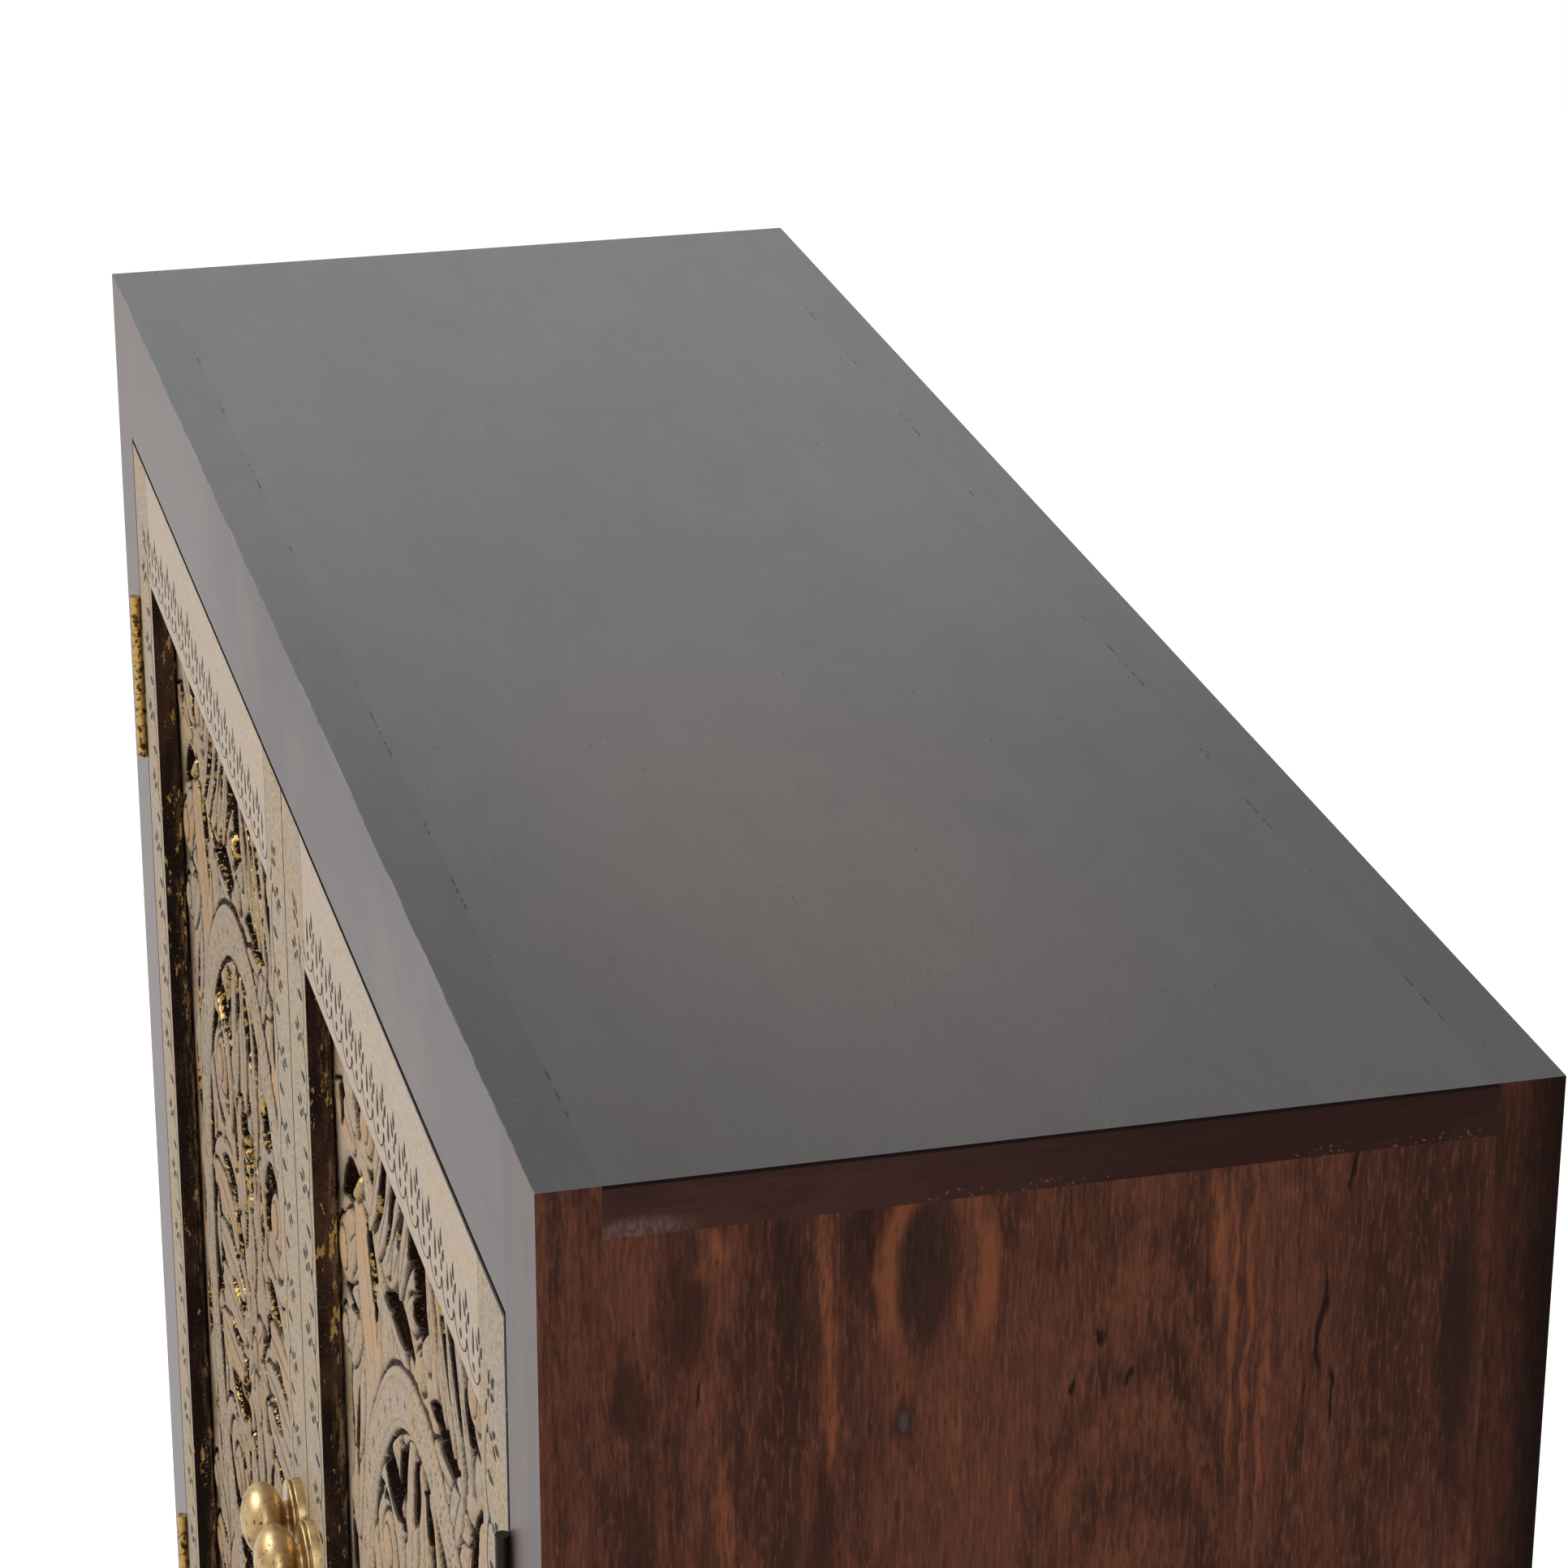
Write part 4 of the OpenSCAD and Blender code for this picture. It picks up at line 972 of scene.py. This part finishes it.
    def cut_holes(self):
        self.h -= 1.4 * np.exp(-np.clip(self.hole, 0, None) / 1.3)
        self.line = np.maximum(self.line, np.clip(1.25 - self.hole / 1.6, 0, 1))
        self.h = np.clip(self.h, 3.4, LEAF_MM + 0.65)
        self.h = np.where(self.hole < -0.05, SKIN_MM, self.h)

    def snap(self):
        """Moves the grid points next to a hole's edge onto that edge."""
        step_u, step_v = self.u[0, 1] - self.u[0, 0], self.v[1, 0] - self.v[0, 0]
        gv, gu = np.gradient(self.hole, step_v, step_u)
        size = np.maximum(np.hypot(gu, gv), 0.3)
        near = np.abs(self.hole) < 0.55 * RELIEF_STEP
        near[[0, -1]] = near[:, [0, -1]] = False
        move = np.where(near, np.clip(-self.hole / size, -0.6 * RELIEF_STEP, 0.6 * RELIEF_STEP), 0)
        self.u, self.v = self.u + move * gu / size, self.v + move * gv / size
        self.put(near & (self.h < 3), h=7.0)

    def tones(self):
        """Attributes that the paint reads: how dark, lined, peach, gilded and rubbed it is."""
        edge = np.clip((self.h - blurred(self.h, 3)) / 0.8, 0, 1) * (self.h > 6)
        low = np.clip((blurred(np.maximum(self.h, 5.5), 14) - self.h) / 1.2, 0, 1)
        return {
            "edge": edge, "low": low, "deep": self.h < 3.0, "line": np.clip(self.line, 0, 1),
            "tint": self.tint, "gold": self.gold,
            "ring_along": self.ring_along, "ring_across": self.ring_across,
        }


def blurred(height, passes):
    """The height with its fine detail smoothed away."""
    out = height.copy()
    for _ in range(passes):
        around = out[:-2, 1:-1] + out[2:, 1:-1] + out[1:-1, :-2] + out[1:-1, 2:]
        out[1:-1, 1:-1] = (out[1:-1, 1:-1] * 2 + around) / 6
    return out


def carve(side, material):
    """Carved panel of one door: a closed relief that stands for the pierced panel."""
    low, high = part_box(f"{side}_carved_panel")
    centre_x, centre_z = (low.x + high.x) / 2, (low.z + high.z) / 2
    half_w, half_h = (high.x - low.x) / 2 / MM, (high.z - low.z) / 2 / MM
    relief = Relief(half_w, half_h, 0.0 if side == "left" else 2.4)
    relief.snap()
    front = np.stack([
        centre_x + relief.u * MM, high.y - relief.h * MM, centre_z + relief.v * MM
    ], -1).reshape(-1, 3)
    at = np.arange(len(front)).reshape(relief.h.shape)
    rim = np.concatenate([at[0, :-1], at[:-1, -1], at[-1, :0:-1], at[:0:-1, 0]])
    back = front[rim].copy()
    back[:, 1] = high.y
    behind = len(front) + np.arange(len(rim))
    grid = np.stack([at[:-1, :-1], at[:-1, 1:], at[1:, 1:], at[1:, :-1]], -1).reshape(-1, 4)
    wall = np.stack([np.roll(rim, -1), rim, behind, np.roll(behind, -1)], -1)
    faces = np.vstack([grid, wall]).tolist() + [behind[::-1].tolist()]
    piece = add_piece(f"{side}_carving", np.vstack([front, back]).tolist(), faces, material)
    for name, values in relief.tones().items():
        padded = np.concatenate([values.ravel(), np.zeros(len(rim))]).astype(np.float32)
        piece.data.attributes.new(name, "FLOAT", "POINT").data.foreach_set("value", padded)
    thin_out(piece)
    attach(piece, f"{side}_door")
    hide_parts(f"{side}_carved_panel")


def smooth(mesh):
    for polygon in mesh.polygons:
        polygon.use_smooth = True


def thin_out(piece):
    """Takes faces out where the relief is flat."""
    triangles = sum(len(p.vertices) - 2 for p in piece.data.polygons)
    modifier = piece.modifiers.new("thin", "DECIMATE")
    modifier.ratio = min(1.0, RELIEF_FACES / triangles)
    bpy.context.view_layer.objects.active = piece
    bpy.ops.object.modifier_apply(modifier=modifier.name)
    smooth(piece.data)


def make_carvings():
    material = carved_paint()
    for side in DOORS:
        carve(side, material)


# Knobs, turned smooth. A profile gives radius and distance from its base, in mm.

TURNS = 96


def full_turn(steps):
    """Angles of a full turn."""
    return [2 * math.pi * i / steps for i in range(steps)]


def turn(name, node, body, profile, sharp, material):
    """Turns a profile about the axis of a node, away from the door."""
    low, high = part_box(node)
    centre_x, centre_z = (low.x + high.x) / 2, (low.z + high.z) / 2
    points = [
        (centre_x + radius * MM * math.cos(a), high.y - out * MM, centre_z + radius * MM * math.sin(a))
        for radius, out in profile for a in full_turn(TURNS)
    ]
    at = np.arange(len(points)).reshape(-1, TURNS)
    after = np.roll(at, -1, 1)
    faces = np.stack([at[:-1], after[:-1], after[1:], at[1:]], -1).reshape(-1, 4).tolist()
    faces += [at[0, ::-1].tolist(), at[-1].tolist()]
    piece = add_piece(name, points, faces, material)
    smooth(piece.data)
    for edge in piece.data.edges:
        rings = {v // TURNS for v in edge.vertices}
        edge.use_edge_sharp = len(rings) == 1 and rings.pop() in sharp
    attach(piece, body)
    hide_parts(node)


def knob_profile():
    """A flattened ball on a short neck."""
    neck, ball, half, middle = 8.0, 19.5, 11.5, 13.0
    start = math.asin(neck / ball)
    angles = [start + (math.pi - start) * i / 40 for i in range(40)]
    sphere = [(ball * math.sin(a), middle - half * math.cos(a)) for a in angles]
    return [(9.5, 0), (8.6, 0.4), (8.1, 1.0), (neck, 1.5)] + sphere + [(0.3, middle + half)]


ROSETTE_PROFILE = (
    (19, 0), (19, 4.2), (18.8, 4.7), (18.2, 5), (17.5, 5), (17.5, 5.5), (18.2, 5.5), (18.8, 5.8),
    (19, 6.3), (19, 6.7), (18.8, 7.2), (18.2, 7.5), (9.6, 7.5),
)
ROSETTE_SHARP = {0, 4, 5, 12}


def make_knobs():
    gold = gilt_brass()
    for side in DOORS:
        door = f"{side}_door"
        turn(f"{side}_knob_turned", f"{side}_knob", door, knob_profile(), {0}, gold)
        turn(f"{side}_rosette_turned", f"{side}_rosette", door, ROSETTE_PROFILE, ROSETTE_SHARP, gold)


# Stencils on the doors. s runs along an edge of the opening and t away from it, in mm.

RAIL_UNITS, STILE_UNITS = 16, 18
INK_PROUD, INK_SUNK = 0.10, 0.05

# Outline of a petal, and the petals and dot of a floret: start, heading, length and half width
DROP = ((0, 0), (0.12, 0.8), (0.32, 1), (0.65, 0.7), (1, 0), (0.65, -0.7), (0.32, -1), (0.12, -0.8))
PETALS = (
    ((0, 2.5), 90, 9, 2.2), ((2.6, -2.5), 62, 8, 2.0), ((-2.6, -2.5), 118, 8, 2.0),
    ((0, -8.5), 90, 6, 1.9),
)


def disc(s, t, radius):
    return [(s + radius * math.cos(a), t + radius * math.sin(a)) for a in full_turn(10)]


def placed_at(s, t, degrees, points):
    """Points turned about 0, 0 and moved to s, t."""
    c, d = math.cos(math.radians(degrees)), math.sin(math.radians(degrees))
    return [(s + a * c - b * d, t + a * d + b * c) for a, b in points]


def drop(s, t, heading, length, half_w):
    """Petal or dash that starts at s, t, fuller at its start."""
    return placed_at(s, t, heading, [(a * length, b * half_w) for a, b in DROP])


def scallop(half_s, t_low, t_high, arm, bottom):
    """Arc that hangs between two junctions, towards the opening. It is arm wide at its ends."""
    turns = [math.pi * i / 12 for i in range(13)]
    hang = t_high - t_low
    near = [(-half_s * math.cos(a), t_high - hang * math.sin(a)) for a in turns]
    far = [((arm - half_s) * math.cos(a), t_high - (hang - bottom) * math.sin(a)) for a in turns]
    return near + far[::-1]


def floret(s, t, degrees=0):
    """Three petals over a dot."""
    starts = placed_at(s, t, degrees, [petal[0] for petal in PETALS])
    return [
        drop(*start, heading + degrees, *sizes) for start, (_, heading, *sizes) in zip(starts, PETALS)
    ]


def rail_unit(half):
    """Scallop with a dot and a dash over it, and a floret at its junction."""
    return [
        scallop(half, 6.5, 15, 1.7, 0.45), disc(0, 12.5, 2.3), drop(0, 18, 90, 14, 2.1),
        disc(half, 15, 2.0), *floret(half, 28),
    ]


def stile_unit(half):
    """The same, drawn out along the upright, with one longer dash."""
    return [
        scallop(half, 6.5, 14, 1.8, 0.9), drop(0, 11.5, 90, 14, 2.2), disc(half, 14, 2.1),
        *floret(half, 27),
    ]


def corner_flower():
    """A floret out from the corner, on a short stem."""
    return [drop(-9, 3, 115, 11, 1.5)] + floret(-21, 21, 45)


class Ink:
    """Printed shapes on the front of one door, each a thin closed prism."""

    def __init__(self, mirror, seed):
        self.mirror = mirror
        self.random = random.Random(seed)
        self.points, self.faces = [], []

    def stamp(self, outline, place):
        flat = [(self.mirror * x, z) for x, z in (place(s, t) for s, t in outline)]
        if sum(a[0] * b[1] - b[0] * a[1] for a, b in zip(flat, flat[1:] + flat[:1])) < 0:
            flat.reverse()
        first, count = len(self.points), len(flat)
        for y in (FACE_Y - INK_PROUD, FACE_Y + INK_SUNK):
            self.points += [(x * MM, y * MM, z * MM) for x, z in flat]
        behind = first + count
        self.faces += [tuple(range(first, behind)), tuple(range(behind + count - 1, behind - 1, -1))]
        for i in range(count):
            j = (i + 1) % count
            self.faces.append((first + i, behind + i, behind + j, first + j))

    def unit(self, shapes, place, at):
        ds, dt = self.random.uniform(-0.6, 0.6), self.random.uniform(-1.0, 1.0)
        size = self.random.uniform(0.93, 1.07)
        for outline in shapes:
            self.stamp([(at + ds + size * s, dt + size * t) for s, t in outline], place)

    def row(self, shapes, edge, units, place):
        """Units side by side along an edge of the opening."""
        pitch = (edge[1] - edge[0]) / units
        for i in range(units):
            self.unit(shapes(pitch / 2), place, edge[0] + (i + 0.5) * pitch)


def print_doors():
    material = ink()
    for side, mirror in (("left", -1), ("right", 1)):
        press = Ink(mirror, 5 + mirror)
        for z, out in zip(OPENING_Z, (-1, 1)):
            press.row(rail_unit, OPENING_X, RAIL_UNITS, lambda s, t: (s, z + out * t))
        for x, out in zip(OPENING_X, (-1, 1)):
            press.row(stile_unit, OPENING_Z, STILE_UNITS, lambda s, t: (x + out * t, s))
        for x, out in zip(OPENING_X, (-1, 1)):
            for z, up in zip(OPENING_Z, (-1, 1)):
                press.unit(corner_flower(), lambda s, t: (x - out * s, z + up * t), 0)
        piece = add_piece(f"{side}_stencil", press.points, press.faces, material)
        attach(piece, f"{side}_door")


make_camera()
make_stage()
dress_nodes()
make_carvings()
make_knobs()
print_doors()
